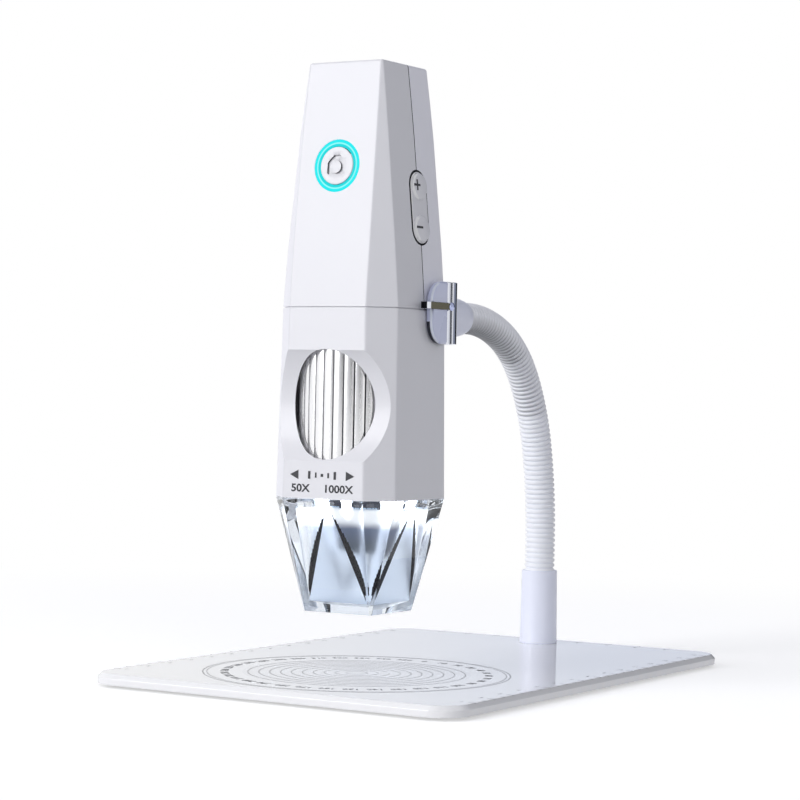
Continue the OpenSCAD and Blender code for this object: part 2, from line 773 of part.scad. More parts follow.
// The key's opening through both shells, with the bore for its pivot
module key_opening() {
    on_right(split_y, key_z) {
        right_stadium(key_len + 2 * key_gap, key_w + 2 * key_gap, -cut, 2 * wall - key_gap);
        translate([-pivot_depth, 0, 0]) rotate([90, 0, 0])
            cylinder(r = pivot_r + run_fit, h = 2 * bearing_to + cut, center = true);
    }
}
module zoom_key() {
    color("whitesmoke") at_axis() on_right(split_y, key_z) {
        right_stadium(key_len, key_w, -key_proud, skirt_from + slice);
        right_stadium(key_len + 2 * key_skirt, key_w + 2 * key_skirt, skirt_from, skirt_from + skirt_t);
        translate([-pivot_depth, 0, 0]) rotate([90, 0, 0])
            cylinder(r = pivot_r, h = 2 * bearing_to, center = true);
        for (z = [-dome_z, dome_z]) translate([key_proud, 0, z]) rotate([0, 90, 0]) rotate_extrude()
            intersection() {
                translate([0, dome_h - dome_ball]) circle(dome_ball);
                translate([0, -key_proud]) square([dome_r, 2 * dome_h]);
            }
    }
}
// Two switches stand on the board's right edge, just clear of the tilted key
zoom_switch_d = 3.4;
zoom_switch_h = 4;
zoom_plunger_r = 0.8;
zoom_plunger_h = 0.8;
zoom_clear = free_gap + skirt_from + skirt_t + (key_len / 2 + key_skirt) * sin(key_tilt);
module zoom_switches() {
    color("dimgray") at_axis() for (z = [-dome_z, dome_z]) {
        face = half_at(key_z + key_len / 2) - zoom_clear;
        body = face - zoom_plunger_h;
        translate([board_w / 4, board_y - zoom_switch_d, key_z + z - zoom_switch_h / 2])
            cube([body - board_w / 4, zoom_switch_d, zoom_switch_h]);
        translate([body - slice, board_y - zoom_switch_d / 2, key_z + z]) rotate([0, 90, 0])
            cylinder(r = zoom_plunger_r, h = zoom_plunger_h);
    }
}

// Main board, battery and charging socket
board_gap = 0.95;
board_w = 2 * (boss_x - boss_r - free_gap);
board_low = seam_z + board_gap;
board_high = top_z - wall - board_gap;
board_screw_r = 0.9;
board_screw_len = 5;
board_head_h = 1;
board_head_r = 1.6;
usb_w = 8.9;
usb_d = 3.2;
usb_len = 7.3;
usb_r = 1.4;
usb_wall = 0.35;
usb_floor = 1;
usb_tongue_w = 6.2;
usb_tongue_t = 0.7;
usb_y = board_y - usb_d / 2;
usb_top = top_z - 0.4;
battery_t = 8;
battery_r = 2;
battery_w = board_w - 1;
battery_low = boss_z;
battery_high = stand_high_z - 4;

module main_board() {
    color("darkgreen") at_axis() difference() {
        translate([-board_w / 2, board_y, board_low]) cube([board_w, board_t, board_high - board_low]);
        for (z = [stand_low_z, stand_high_z])
            along_y(0, z, board_y - cut, board_y + board_t + cut, board_screw_r + seat_fit);
    }
}
module board_screws() {
    color("silver") at_axis() for (z = [stand_low_z, stand_high_z]) {
        along_y(0, z, board_y - board_screw_len + seat_fit, board_y + board_t + slice, board_screw_r);
        along_y(0, z, board_y + board_t, board_y + board_t + board_head_h, board_head_r);
    }
}
module battery() {
    color("lightblue") at_axis() translate([0, board_y + board_t, (battery_low + battery_high) / 2])
        rotate([-90, 0, 0]) linear_extrude(battery_t)
            rounded_rect(battery_w, battery_high - battery_low, battery_r);
}
module usb_socket() {
    color("silver") at_axis() translate([0, usb_y, usb_top - usb_len]) {
        difference() {
            linear_extrude(usb_len) rounded_rect(usb_w, usb_d, usb_r);
            translate([0, 0, usb_floor]) linear_extrude(usb_len)
                rounded_rect(usb_w - 2 * usb_wall, usb_d - 2 * usb_wall, usb_r - usb_wall);
        }
        translate([-usb_tongue_w / 2, -usb_tongue_t / 2, 0])
            cube([usb_tongue_w, usb_tongue_t, usb_len - usb_floor]);
    }
}

// Optics: a guide tube carries the wheel outside and the lens barrel inside
guide_in = barrel_r + run_fit;
guide_r = guide_in + guide_wall;
hub_in = guide_r + run_fit;
hub_r = hub_in + hub_wall;
web_t = 2;
groove_margin = 3.4;
hub_low = pocket_low + 1.5;
hub_high = hub_low + lens_travel + 2 * groove_margin;
pin_z = (hub_low + hub_high) / 2;
web_high = hub_high + web_t;
clip_t = 1;
clip_w = 2;
guide_top = pocket_high + 1;
pin_reach = hub_in + hub_wall / 2;
slot_half = lens_travel / 2 + pin_r + free_gap;
wheel_r = pocket_r - wheel_gap;
drum_r = wheel_r - wheel_rib_h;
rib_fill = 0.94;
rib_r = PI * drum_r / wheel_ribs * rib_fill;

module ring_plate(r_out, r_in, z0, z1) {
    translate([0, 0, z0]) difference() {
        cylinder(r = r_out, h = z1 - z0);
        translate([0, 0, -cut]) cylinder(r = r_in, h = z1 - z0 + 2 * cut);
    }
}

module optics_chassis() {
    color("dimgray") at_axis() difference() {
        union() {
            translate([0, 0, flange_low]) cylinder(r = seat_r - run_fit, h = flange_t);
            translate([0, 0, flange_low])
                cylinder(r = hub_in + hub_wall / 2, h = hub_low - flange_low - run_fit);
            translate([0, 0, flange_low]) cylinder(r = guide_r, h = guide_top - flange_low);
        }
        translate([0, 0, flange_low - cut]) cylinder(r = guide_in, h = top_z);
        translate([-pin_r - free_gap / 2, 0, pin_z - slot_half])
            cube([2 * pin_r + free_gap, 2 * guide_r, 2 * slot_half]);
    }
}

// The wheel's hub has a helical groove that lifts the pin as the wheel turns
groove_steps = 36;
groove_over = 12;
function groove_ring(i) = let (t = blend(-1, 1, i / groove_steps), reach = wheel_turn / 2 + groove_over,
        a = 90 - t * reach, z = pin_z + t * reach / wheel_turn * lens_travel, w = pin_r + free_gap / 2,
        near = hub_in - 1, far = pin_reach + free_gap)
    [[near * cos(a), near * sin(a), z - w], [far * cos(a), far * sin(a), z - w],
     [far * cos(a), far * sin(a), z + w], [near * cos(a), near * sin(a), z + w]];
module cam_groove() {
    n = groove_steps;
    polyhedron(points = [for (i = [0:n]) each groove_ring(i)],
        faces = concat([[0, 1, 2, 3]], [[4 * n + 3, 4 * n + 2, 4 * n + 1, 4 * n]],
            [for (i = [0:n - 1], j = [0:3]) let (a = 4 * i + j, b = 4 * i + (j + 1) % 4)
                each [[a, b + 4, b], [a, a + 4, b + 4]]]));
}

module focus_wheel() {
    color("silver") at_axis() difference() {
        union() {
            translate([0, 0, scoop_z - wheel_h / 2]) linear_extrude(wheel_h) difference() {
                union() {
                    circle(drum_r);
                    for (i = [0:wheel_ribs - 1])
                        rotate(360 * i / wheel_ribs) translate([wheel_r - rib_r, 0]) circle(rib_r);
                }
                circle(drum_r - drum_wall);
            }
            ring_plate(drum_r - drum_wall / 2, hub_in, hub_high, web_high);
            ring_plate(hub_r, hub_in, hub_low, hub_high + slice);
        }
        cam_groove();
    }
}

module wheel_clip() {
    clip_low = web_high + run_fit;
    color("black") at_axis() ring_plate(guide_r + clip_w, guide_r + seat_fit / 4, clip_low, clip_low + clip_t);
}

lamp_high = flange_low - board_t;
barrel_low = flange_low - board_t - lens_travel / 2;
barrel_high = barrel_low + barrel_len;
nose_low = lamp_high - nose_len;
lens_t = 2;
lens_recess = 0.5;
barrel_wall = 1.5;
module lens_barrel() {
    color("black") at_axis() union() {
        difference() {
            union() {
                translate([0, 0, barrel_low]) cylinder(r = barrel_r, h = barrel_len);
                translate([0, 0, nose_low]) cylinder(r1 = nose_r, r2 = barrel_r, h = barrel_low - nose_low);
            }
            translate([0, 0, barrel_low]) cylinder(r = barrel_r - barrel_wall, h = barrel_len + cut);
            translate([0, 0, nose_low - cut])
                cylinder(r = lens_r + seat_fit / 4, h = barrel_low - nose_low + 2 * cut);
        }
        along_y(0, pin_z, barrel_r - 1, pin_reach, pin_r);
    }
}
module lens(r, z, t) {
    ball = (r * r + t * t) / (2 * t);
    color("lightcyan") at_axis() translate([0, 0, z]) {
        cylinder(r = r, h = t);
        intersection() {
            cylinder(r = r, h = 2 * t);
            translate([0, 0, 2 * t - ball]) sphere(ball);
        }
    }
}
module front_lens() { lens(lens_r, nose_low + lens_recess, lens_t / 2); }
module rear_lens() { lens(barrel_r - barrel_wall - seat_fit / 4, barrel_low, lens_t); }

// Sensor on top of the guide tube, looking down
sensor_w = 7;
sensor_t = 1;
flex_w = 6;
flex_t = 0.3;
module sensor_board() {
    color("darkgreen") at_axis() translate([0, 0, guide_top]) cylinder(r = spigot_r - free_gap, h = board_t);
}
module image_sensor() {
    color("black") at_axis() translate([-sensor_w / 2, -sensor_w / 2, guide_top - sensor_t])
        cube([sensor_w, sensor_w, sensor_t]);
}
module sensor_flex() {
    color("orange") at_axis() translate([board_w / 2 - flex_w, board_y - flex_t, guide_top + board_t])
        cube([flex_w, flex_t, stand_low_z + flex_w - guide_top - board_t]);
}

// Lamps on the underside of their board, around the lens
lamp_ring_r = (guide_r + spigot_r) / 2;
rim_wall = seat_r - run_fit - lamp_ring_r - 2 * lamp_r;
rim_in = seat_r - run_fit - rim_wall;
module lamp_board() {
    color("white") at_axis() ring_plate(rim_in - seat_fit, barrel_r + 2 * free_gap, lamp_high, flange_low);
}
module lamps() {
    color("lightyellow") at_axis() for (i = [0:lamp_count - 1])
        rotate(360 * (i + 0.5) / lamp_count) translate([lamp_ring_r, 0, lamp_high - lamp_h]) {
            cylinder(r = lamp_r, h = lamp_h);
            sphere(lamp_r);
        }
}

// Clear hood: from the sleeve's chamfered square down to a sharp square tip, with a clear floor
hood_shelf = 1.5;
hood_edge_r = 0.2;
function hood_half(z) = blend(tip_w, nose_w, (z - tip_z) / hood_h) / 2;
function hood_cut(z) = blend(point_cut, corner_cut, (z - tip_z) / hood_h);
function hood_ring(z, inset) = chamfered_ring(hood_half(z), hood_cut(z), inset, hood_edge_r);
// The cavity is round above and square below, so the hood's corners are thick wedges
module hood_cavity() {
    low = tip_z + hood_floor;
    hull() {
        translate([0, 0, low]) linear_extrude(slice) polygon(hood_ring(low, hood_wall));
        translate([0, 0, nose_z - hood_shelf]) cylinder(r = rim_in, h = slice);
    }
}
module hood() {
    color("lightcyan", 0.4) at_axis() difference() {
        union() {
            stacked([for (z = [tip_z, nose_z]) lifted(hood_ring(z, 0), z)]);
            translate([0, 0, nose_z - hood_shelf / 2])
                cylinder(r = seat_r - run_fit, h = spigot_h + hood_shelf / 2);
        }
        hood_cavity();
        translate([0, 0, nose_z - hood_shelf])
            cylinder(r = rim_in, h = spigot_h + hood_shelf + cut);
    }
}

stage_plate();
stage_feet();
post_sleeve();
post_screw();
neck_plug();
neck_hose_foot();
neck_hose_lower();
neck_hose_middle();
neck_hose_upper();
neck_hose_head();
neck_core_foot();
neck_core_lower();
neck_core_middle();
neck_core_upper();
neck_core_head();
neck_collar();
holder_bracket();
holder_screw();
jaw_pad_right();
jaw_pad_left();
grip_bands();
band_rivets();
sleeve();
grip_front();
grip_rear();
shell_screws();
hood();
focus_wheel();
wheel_clip();
optics_chassis();
lens_barrel();
front_lens();
rear_lens();
sensor_board();
image_sensor();
sensor_flex();
lamp_board();
lamps();
main_board();
board_screws();
battery();
usb_socket();
snap_switch();
zoom_switches();
snap_button();
light_ring();
zoom_key();
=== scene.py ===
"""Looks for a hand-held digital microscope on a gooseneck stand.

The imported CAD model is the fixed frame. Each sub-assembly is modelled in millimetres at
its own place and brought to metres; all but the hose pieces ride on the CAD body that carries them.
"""

import logging
import math
from collections.abc import Callable, Sequence
from dataclasses import dataclass, field, replace
from enum import Enum

import bmesh
import bpy
from mathutils import Matrix, Vector


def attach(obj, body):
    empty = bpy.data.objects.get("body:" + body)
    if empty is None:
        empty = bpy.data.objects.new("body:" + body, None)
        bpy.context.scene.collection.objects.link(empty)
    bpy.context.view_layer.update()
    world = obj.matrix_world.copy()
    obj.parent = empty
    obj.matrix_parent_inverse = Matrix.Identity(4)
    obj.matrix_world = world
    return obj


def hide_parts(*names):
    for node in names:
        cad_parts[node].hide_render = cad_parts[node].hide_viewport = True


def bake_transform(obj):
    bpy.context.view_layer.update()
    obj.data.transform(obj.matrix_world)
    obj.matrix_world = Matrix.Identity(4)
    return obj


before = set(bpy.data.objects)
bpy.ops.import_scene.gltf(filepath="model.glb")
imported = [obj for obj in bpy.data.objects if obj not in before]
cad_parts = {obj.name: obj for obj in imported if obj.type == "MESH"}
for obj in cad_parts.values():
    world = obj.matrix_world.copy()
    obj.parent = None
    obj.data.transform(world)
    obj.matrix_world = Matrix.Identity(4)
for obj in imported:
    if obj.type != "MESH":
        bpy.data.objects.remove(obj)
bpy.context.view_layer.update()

LOG = logging.getLogger("microscope")
MM = 0.001
AXIS_Y = -35.5
GREY = (0.8, 0.8, 0.8, 1.0)

Colour = tuple[int, int, int]
Point = tuple[float, float, float]
Spot = tuple[float, float]
Stop = tuple[float, Colour]
Piece = bpy.types.Object
Node = bpy.types.Node
Socket = bpy.types.NodeSocket
Material = bpy.types.Material
Sockets = dict[str | int, object]
FaceTest = Callable[[Vector, Vector], bool]


class Body(Enum):
    """The CAD bodies that pieces ride on."""

    STAND = "stand"
    NECK_FOOT = "neck_foot"
    NECK_LOWER = "neck_lower"
    NECK_MIDDLE = "neck_middle"
    NECK_UPPER = "neck_upper"
    HOLDER = "holder"
    MICROSCOPE = "microscope"
    FOCUS_WHEEL = "focus_wheel"
    SNAP_BUTTON = "snap_button"
    ZOOM_KEY = "zoom_key"


class Cut(Enum):
    """What a boolean does with its second shape."""

    AWAY = "DIFFERENCE"
    JOIN = "UNION"
    KEEP = "INTERSECT"


def linear(colour: Colour) -> tuple[float, float, float, float]:
    """Turn a screen colour into the shader's linear values.

    Args:
        colour: Red, green and blue from 0 to 255.

    Returns:
        Linear red, green, blue and an alpha of one.
    """
    parts = [c / 255 for c in colour]
    red, green, blue = (p / 12.92 if p <= 0.04045 else ((p + 0.055) / 1.055) ** 2.4 for p in parts)
    return (red, green, blue, 1.0)


class Tree:
    """A node tree with short ways to add nodes and feed their sockets."""

    def __init__(self, tree: bpy.types.NodeTree) -> None:
        """Keep the tree that nodes are added to."""
        self.tree = tree

    def add(self, kind: str, sockets: Sockets | None = None, **values: object) -> Node:
        """Add a shader node, set its properties and feed its sockets.

        Args:
            kind: The node's Blender type, after the word ShaderNode.
            sockets: What its inputs get, by name or place.
            values: Properties by name.

        Returns:
            The new node.
        """
        node = self.tree.nodes.new(f"ShaderNode{kind}")
        for name, value in values.items():
            setattr(node, name, value)
        self.feed(node, sockets or {})
        return node

    def feed(self, node: Node, sockets: Sockets) -> None:
        """Link or set a node's inputs.

        Args:
            node: The node.
            sockets: A socket or a plain value for each input, by name or place.
        """
        for key, value in sockets.items():
            if isinstance(value, Socket):
                self.tree.links.new(value, node.inputs[key])
            else:
                node.inputs[key].default_value = value

    def math(self, operation: str, first: object, second: object = 0.0) -> Socket:
        """Add a Math node.

        Args:
            operation: The node's operation.
            first: A socket or a number.
            second: A socket or a number.

        Returns:
            The node's output.
        """
        return self.add("Math", {0: first, 1: second}, operation=operation).outputs[0]

    def place(self) -> Socket:
        """Give the place on the piece, in metres."""
        return self.add("TexCoord").outputs["Object"]

    def reach(self, place: Socket) -> Socket:
        """Give the length of a vector."""
        return self.add("VectorMath", {0: place}, operation="LENGTH").outputs["Value"]

    def round_axis(self) -> Socket:
        """Measure the place on the level plane from the optical axis.

        Returns:
            The place in metres.
        """
        shift = {"Vector": self.place(), "Location": (0, -AXIS_Y * MM, 0)}
        centred = self.add("Mapping", shift).outputs[0]
        return self.add("VectorMath", {0: centred, 1: (1, 1, 0)}, operation="MULTIPLY").outputs[0]

    def share(self, value: Socket, low: float, high: float) -> Socket:
        """Give how far a value lies between two others, from zero to one."""
        return self.add("MapRange", {"Value": value, "From Min": low, "From Max": high}).outputs["Result"]

    def ramp(self, share: Socket, stops: Sequence[Stop], ease: bool = False) -> Socket:
        """Turn a share from zero to one into a colour.

        Args:
            share: The share.
            stops: Place and colour of each stop, rising.
            ease: Whether the colours ease into each other.

        Returns:
            The colour.
        """
        node = self.add("ValToRGB", {0: share})
        node.color_ramp.interpolation = "EASE" if ease else "LINEAR"
        steps = node.color_ramp.elements
        steps[0].position, steps[1].position = stops[0][0], stops[-1][0]
        for spot, _ in stops[1:-1]:
            steps.new(spot)
        for step, (_, colour) in zip(steps, stops):
            step.color = linear(colour)
        return node.outputs[0]


def new_group(name: str, inputs: dict[str, object], outputs: dict[str, str]) -> tuple[Tree, dict, Node]:
    """Start a shader node group with named sockets.

    Args:
        name: The group's name.
        inputs: Default value by input name; a four-part value makes a colour.
        outputs: Socket kind by output name.

    Returns:
        The tree, its input sockets by name and its output node.
    """
    group = bpy.data.node_groups.new(name, "ShaderNodeTree")
    for label, value in inputs.items():
        kind = "Float"
        if isinstance(value, tuple):
            kind = "Color" if len(value) == 4 else "Vector"
        socket = group.interface.new_socket(label, in_out="INPUT", socket_type=f"NodeSocket{kind}")
        socket.default_value = value
    for label, kind in outputs.items():
        group.interface.new_socket(label, in_out="OUTPUT", socket_type=f"NodeSocket{kind}")
    sources = group.nodes.new("NodeGroupInput").outputs
    return Tree(group), {s.name: s for s in sources if s.name}, group.nodes.new("NodeGroupOutput")


def grain_group() -> bpy.types.NodeTree:
    """Build the fine moulded grain with its cloudy tone, once.

    Returns:
        The group, with Colour, Roughness and Height outputs.
    """
    found = bpy.data.node_groups.get("moulded_grain")
    if found:
        return found
    tree, given, out = new_group(
        "moulded_grain",
        {"Colour": GREY, "Roughness": 0.4, "Scale": 2000.0, "Mottle": 0.03, "Spread": 0.06},
        {"Colour": "Color", "Roughness": "Float", "Height": "Float"},
    )
    place = tree.place()
    grain = tree.add("TexNoise", {"Vector": place, "Scale": given["Scale"], "Detail": 3.0})
    broad = tree.math("MULTIPLY", given["Scale"], 0.03)
    cloud = tree.add("TexNoise", {"Vector": place, "Scale": broad, "Detail": 4.0})
    swing = tree.math("SUBTRACT", cloud.outputs[0], 0.5)
    tone = tree.math("ADD", tree.math("MULTIPLY", swing, given["Mottle"]), 1.0)
    shade = tree.add("VectorMath", {0: given["Colour"], "Scale": tone}, operation="SCALE").outputs[0]
    rough = tree.math("ADD", given["Roughness"], tree.math("MULTIPLY", swing, given["Spread"]))
    tree.feed(out, {"Colour": shade, "Roughness": rough, "Height": grain.outputs[0]})
    return tree.tree


def underside_group() -> bpy.types.NodeTree:
    """Build the painted shade that darkens faces looking down, once.

    Returns:
        The group, with a Colour output.
    """
    found = bpy.data.node_groups.get("painted_underside_shade")
    if found:
        return found
    tree, given, out = new_group("painted_underside_shade", {"Colour": GREY, "Under": 0.5}, {"Colour": "Color"})
    normal = tree.add("TexCoord").outputs["Normal"]
    upward = tree.add("SeparateXYZ", {0: normal}).outputs["Z"]
    darkest = tree.math("SUBTRACT", 1.0, given["Under"])
    level = tree.add("MapRange", {"Value": upward, "From Min": -0.75, "From Max": 0.2, "To Min": darkest})
    tone = level.outputs["Result"]
    shade = tree.add("VectorMath", {0: given["Colour"], "Scale": tone}, operation="SCALE").outputs[0]
    tree.feed(out, {"Colour": shade})
    return tree.tree


def hairline_group() -> bpy.types.NodeTree:
    """Build the drawn-out hairlines of plated and brushed metal, once.

    Returns:
        The group, with Colour, Roughness and Height outputs.
    """
    found = bpy.data.node_groups.get("metal_hairline")
    if found:
        return found
    tree, given, out = new_group(
        "metal_hairline",
        {"Stretch": (6000.0, 6000.0, 200.0), "Roughness": 0.15, "Spread": 0.1, "Colour": GREY},
        {"Colour": "Color", "Roughness": "Float", "Height": "Float"},
    )
    drawn = tree.add("VectorMath", {0: tree.place(), 1: given["Stretch"]}, operation="MULTIPLY").outputs[0]
    lines = tree.add("TexNoise", {"Vector": drawn, "Scale": 1.0, "Detail": 4.0}).outputs[0]
    swing = tree.math("SUBTRACT", lines, 0.5)
    tone = tree.math("ADD", tree.math("MULTIPLY", swing, 0.25), 1.0)
    shade = tree.add("VectorMath", {0: given["Colour"], "Scale": tone}, operation="SCALE").outputs[0]
    rough = tree.math("ADD", given["Roughness"], tree.math("MULTIPLY", swing, given["Spread"]))
    tree.feed(out, {"Colour": shade, "Roughness": rough, "Height": lines})
    return tree.tree


@dataclass(frozen=True)
class Finish:
    """What every finish shares: its name, its record slot and its colour on screen."""

    name: str
    slot: str
    colour: Colour

    def material(self) -> Material:
        """Return the finish's material, made at its first use."""
        return bpy.data.materials.get(self.title) or self.make()

    @property
    def title(self) -> str:
        """The material's own name, apart from the CAD model's slot names."""
        return f"{self.name}_finish"

    def make(self) -> Material:
        """Make the material; each kind of finish has its own way."""
        raise NotImplementedError

    def start(self) -> tuple[Material, Tree, Node]:
        """Start a material with a bare surface shader.

        Returns:
            The material, its tree and its surface shader.
        """
        made = bpy.data.materials.new(self.title)
        made.use_nodes = True
        shader = next(n for n in made.node_tree.nodes if n.type == "BSDF_PRINCIPLED")
        shader.inputs["Base Color"].default_value = linear(self.colour)
        return made, Tree(made.node_tree), shader

    def textured(
        self, tree: Tree, shader: Node, group: bpy.types.NodeTree, values: Sockets
    ) -> bpy.types.bpy_prop_collection:
        """Place a shared group in the material and let it feed colour and roughness.

        Args:
            tree: The material's tree.
            shader: Its surface shader.
            group: The shared group.
            values: What the group's inputs get.

        Returns:
            The group's outputs.
        """
        made = tree.add("Group", values, node_tree=group).outputs
        tree.feed(shader, {"Base Color": made["Colour"], "Roughness": made["Roughness"]})
        return made

    def bump(self, tree: Tree, shader: Node, height: Socket, depth: float) -> None:
        """Raise the surface by a height.

        Args:
            tree: The material's tree.
            shader: Its surface shader.
            height: The height, from zero to one.
            depth: The height's size in millimetres.
        """
        node = tree.add("Bump", {"Strength": 0.5, "Distance": depth * MM, "Height": height})
        tree.feed(shader, {"Normal": node.outputs["Normal"]})


@dataclass(frozen=True)
class MouldedPlastic(Finish):
    """Moulded plastic or rubber with a fine grain, a faintly cloudy tone and, where under is set, painted
    shade on faces that look down.
    """

    roughness: float = 0.35
    scale: float = 2600.0
    depth: float = 0.012
    mottle: float = 0.02
    spread: float = 0.08
    coat: float = 0.0
    coat_roughness: float = 0.05
    specular: float = 0.5
    # under: strength of the painted shade on faces that look down.
    under: float = 0.0

    def make(self) -> Material:
        """Make the moulded material.

        Returns:
            The material.
        """
        made, tree, shader = self.start()
        values = {"Colour": linear(self.colour), "Roughness": self.roughness, "Scale": self.scale}
        values |= {"Mottle": self.mottle, "Spread": self.spread}
        grain = self.textured(tree, shader, grain_group(), values)
        # Painted shade: faces that look down are darkened.
        if self.under:
            values = {"Colour": grain["Colour"], "Under": self.under}
            shaded = tree.add("Group", values, node_tree=underside_group()).outputs["Colour"]
            tree.feed(shader, {"Base Color": shaded})
        tree.feed(shader, {"Coat Weight": self.coat, "Coat Roughness": self.coat_roughness})
        tree.feed(shader, {"Specular IOR Level": self.specular})
        self.bump(tree, shader, grain["Height"], self.depth)
        return made


@dataclass(frozen=True)
class Metal(Finish):
    """Plated or drawn metal with hairlines along one direction."""

    roughness: float = 0.12
    metallic: float = 1.0
    stretch: Point = (5000.0, 5000.0, 150.0)
    spread: float = 0.12
    depth: float = 0.006

    def make(self) -> Material:
        """Make the metal material.

        Returns:
            The material.
        """
        made, tree, shader = self.start()
        values = {"Colour": linear(self.colour), "Stretch": self.stretch}
        values |= {"Roughness": self.roughness, "Spread": self.spread}
        lines = self.textured(tree, shader, hairline_group(), values)
        tree.feed(shader, {"Metallic": self.metallic})
        self.bump(tree, shader, lines["Height"], self.depth)
        return made


@dataclass(frozen=True)
class ClearPlastic(Finish):
    """Clear acrylic or lens glass; where it is frosted, it may carry a painted glow by level that stands in
    for the light of the lamps behind it.
    """

    refraction: float = 1.49
    roughness: float = 0.015
    specular: float = 0.5
    scale: float = 500.0
    # lit: levels and colours of the painted glow, emission that stands in for the lamps' light.
    lit: tuple[Stop, ...] = ()
    lit_strength: float = 0.9

    def make(self) -> Material:
        """Make the clear material.

        Returns:
            The material.
        """
        made, tree, shader = self.start()
        values = {"Colour": linear(self.colour), "Roughness": self.roughness, "Scale": self.scale}
        values |= {"Mottle": 0.0, "Spread": self.roughness}
        self.textured(tree, shader, grain_group(), values)
        values = {"IOR": self.refraction, "Specular IOR Level": self.specular, "Transmission Weight": 1.0}
        tree.feed(shader, values)
        # Painted glow: emission by level.
        if self.lit:
            low, high = self.lit[0][0], self.lit[-1][0]
            level = tree.add("SeparateXYZ", {0: tree.place()}).outputs["Z"]
            stops = [((z - low) / (high - low), colour) for z, colour in self.lit]
            glow = tree.ramp(tree.share(level, low * MM, high * MM), stops, ease=True)
            tree.feed(shader, {"Emission Color": glow, "Emission Strength": self.lit_strength})
        return made


@dataclass(frozen=True)
class StageLacquer(Finish):
    """Gloss lacquer with a field of fine printed dots round the optical axis."""

    roughness: float = 0.09
    scale: float = 300.0
    mottle: float = 0.012
    spread: float = 0.03
    field_r: float = 31.5
    dot_pitch: float = 1.1
    dot_share: float = 0.32
    dot_colour: Colour = (222, 223, 228)
    depth: float = 0.002

    def make(self) -> Material:
        """Make the lacquer.

        Returns:
            The material.
        """
        made, tree, shader = self.start()
        flat = tree.round_axis()
        inside = tree.math("LESS_THAN", tree.reach(flat), self.field_r * MM)
        dots = tree.add("TexVoronoi", {"Vector": flat, "Scale": 1 / (self.dot_pitch * MM), "Randomness": 0.0})
        dot = tree.math("LESS_THAN", dots.outputs["Distance"], self.dot_share)
        printed = {0: tree.math("MULTIPLY", inside, dot), 6: linear(self.colour), 7: linear(self.dot_colour)}
        colour = tree.add("Mix", printed, data_type="RGBA").outputs[2]
        values = {"Colour": colour, "Roughness": self.roughness, "Scale": self.scale}
        values |= {"Mottle": self.mottle, "Spread": self.spread}
        grain = self.textured(tree, shader, grain_group(), values)
        tree.feed(shader, {"Coat Weight": 0.6, "Coat Roughness": 0.02})
        self.bump(tree, shader, grain["Height"], self.depth)
        return made


@dataclass(frozen=True)
class Glow(Finish):
    """Self-lit material: a lamp that gives light of its own, and a board given a painted glow that stands in
    for the lamps' light; brightest near a ring of lamps.
    """

    strength: float = 1.0
    ring_r: float = 12.135
    fade: float = 6.0
    dim: Colour = (120, 130, 150)

    def make(self) -> Material:
        """Make the glowing material.

        Returns:
            The material.
        """
        made, tree, shader = self.start()
        off = tree.math("ABSOLUTE", tree.math("SUBTRACT", tree.reach(tree.round_axis()), self.ring_r * MM))
        near = tree.math("SUBTRACT", 1.0, tree.math("DIVIDE", off, self.fade * MM))
        glow = tree.ramp(near, ((0.0, self.dim), (1.0, self.colour)))
        tree.feed(shader, {"Roughness": 0.3, "Emission Color": glow, "Emission Strength": self.strength})
        return made


@dataclass(frozen=True)
class LightRing(Finish):
    """The lit ring round the snapshot button: bright band, pale line, deep inner line."""

    centre: Point = (0.0, 0.0, 0.0)
    inner_r: float = 5.28
    outer_r: float = 7.15
    stops: tuple[Stop, ...] = (
        (0.0, (20, 212, 216)),
        (0.34, (24, 220, 224)),
        (0.41, (150, 248, 246)),
        (0.56, (140, 248, 248)),
        (0.63, (30, 236, 240)),
        (1.0, (20, 232, 238)),
    )

    def make(self) -> Material:
        """Make the ring's material.

        Returns:
            The material.
        """
        made, tree, shader = self.start()
        centre = tuple(c * MM for c in self.centre)
        offset = tree.add("VectorMath", {0: tree.place(), 1: centre}, operation="SUBTRACT").outputs[0]
        share = tree.share(tree.reach(offset), self.inner_r * MM, self.outer_r * MM)
        tree.feed(shader, {"Base Color": (0.0, 0.02, 0.02, 1.0), "Roughness": 0.5, "Specular IOR Level": 0.1})
        tree.feed(shader, {"Emission Color": tree.ramp(share, self.stops), "Emission Strength": 1.0})
        return made


@dataclass(frozen=True)
class BoardMask(Finish):
    """A circuit board's solder mask with copper tracks under it."""

    scale: float = 120.0
    track: float = 0.03
    depth: float = 0.02

    def make(self) -> Material:
        """Make the board material.

        Returns:
            The material.
        """
        made, tree, shader = self.start()
        darker = linear(tuple(int(c * 0.85) for c in self.colour))
        copper = linear(tuple(min(255, int(c * 1.5 + 12)) for c in self.colour))
        values = {"Vector": tree.place(), "Scale": self.scale, "Mortar Size": self.track}
        values |= {"Color1": linear(self.colour), "Color2": darker, "Mortar": copper}
        tracks = tree.add("TexBrick", values).outputs
        tree.feed(shader, {"Base Color": tracks["Color"], "Roughness": 0.35})
        self.bump(tree, shader, tracks["Fac"], self.depth)
        return made


SHELL_WHITE = MouldedPlastic("shell_white", "shell_white", (229, 229, 234), roughness=0.34, coat=0.12)
# A lighter tone: the rear shell's colour, also put on the front-left chamfers as painted light.
SHELL_REAR_AND_PAINTED_LIGHT = replace(SHELL_WHITE, name="shell_rear_and_painted_light", colour=(243, 243, 251))
# Painted shade for the parting groove, the key's gap and the walls of the button's sunk sign.
SEAM_SHADE = MouldedPlastic("seam_shade", "shell_white", (74, 74, 80), roughness=0.55)
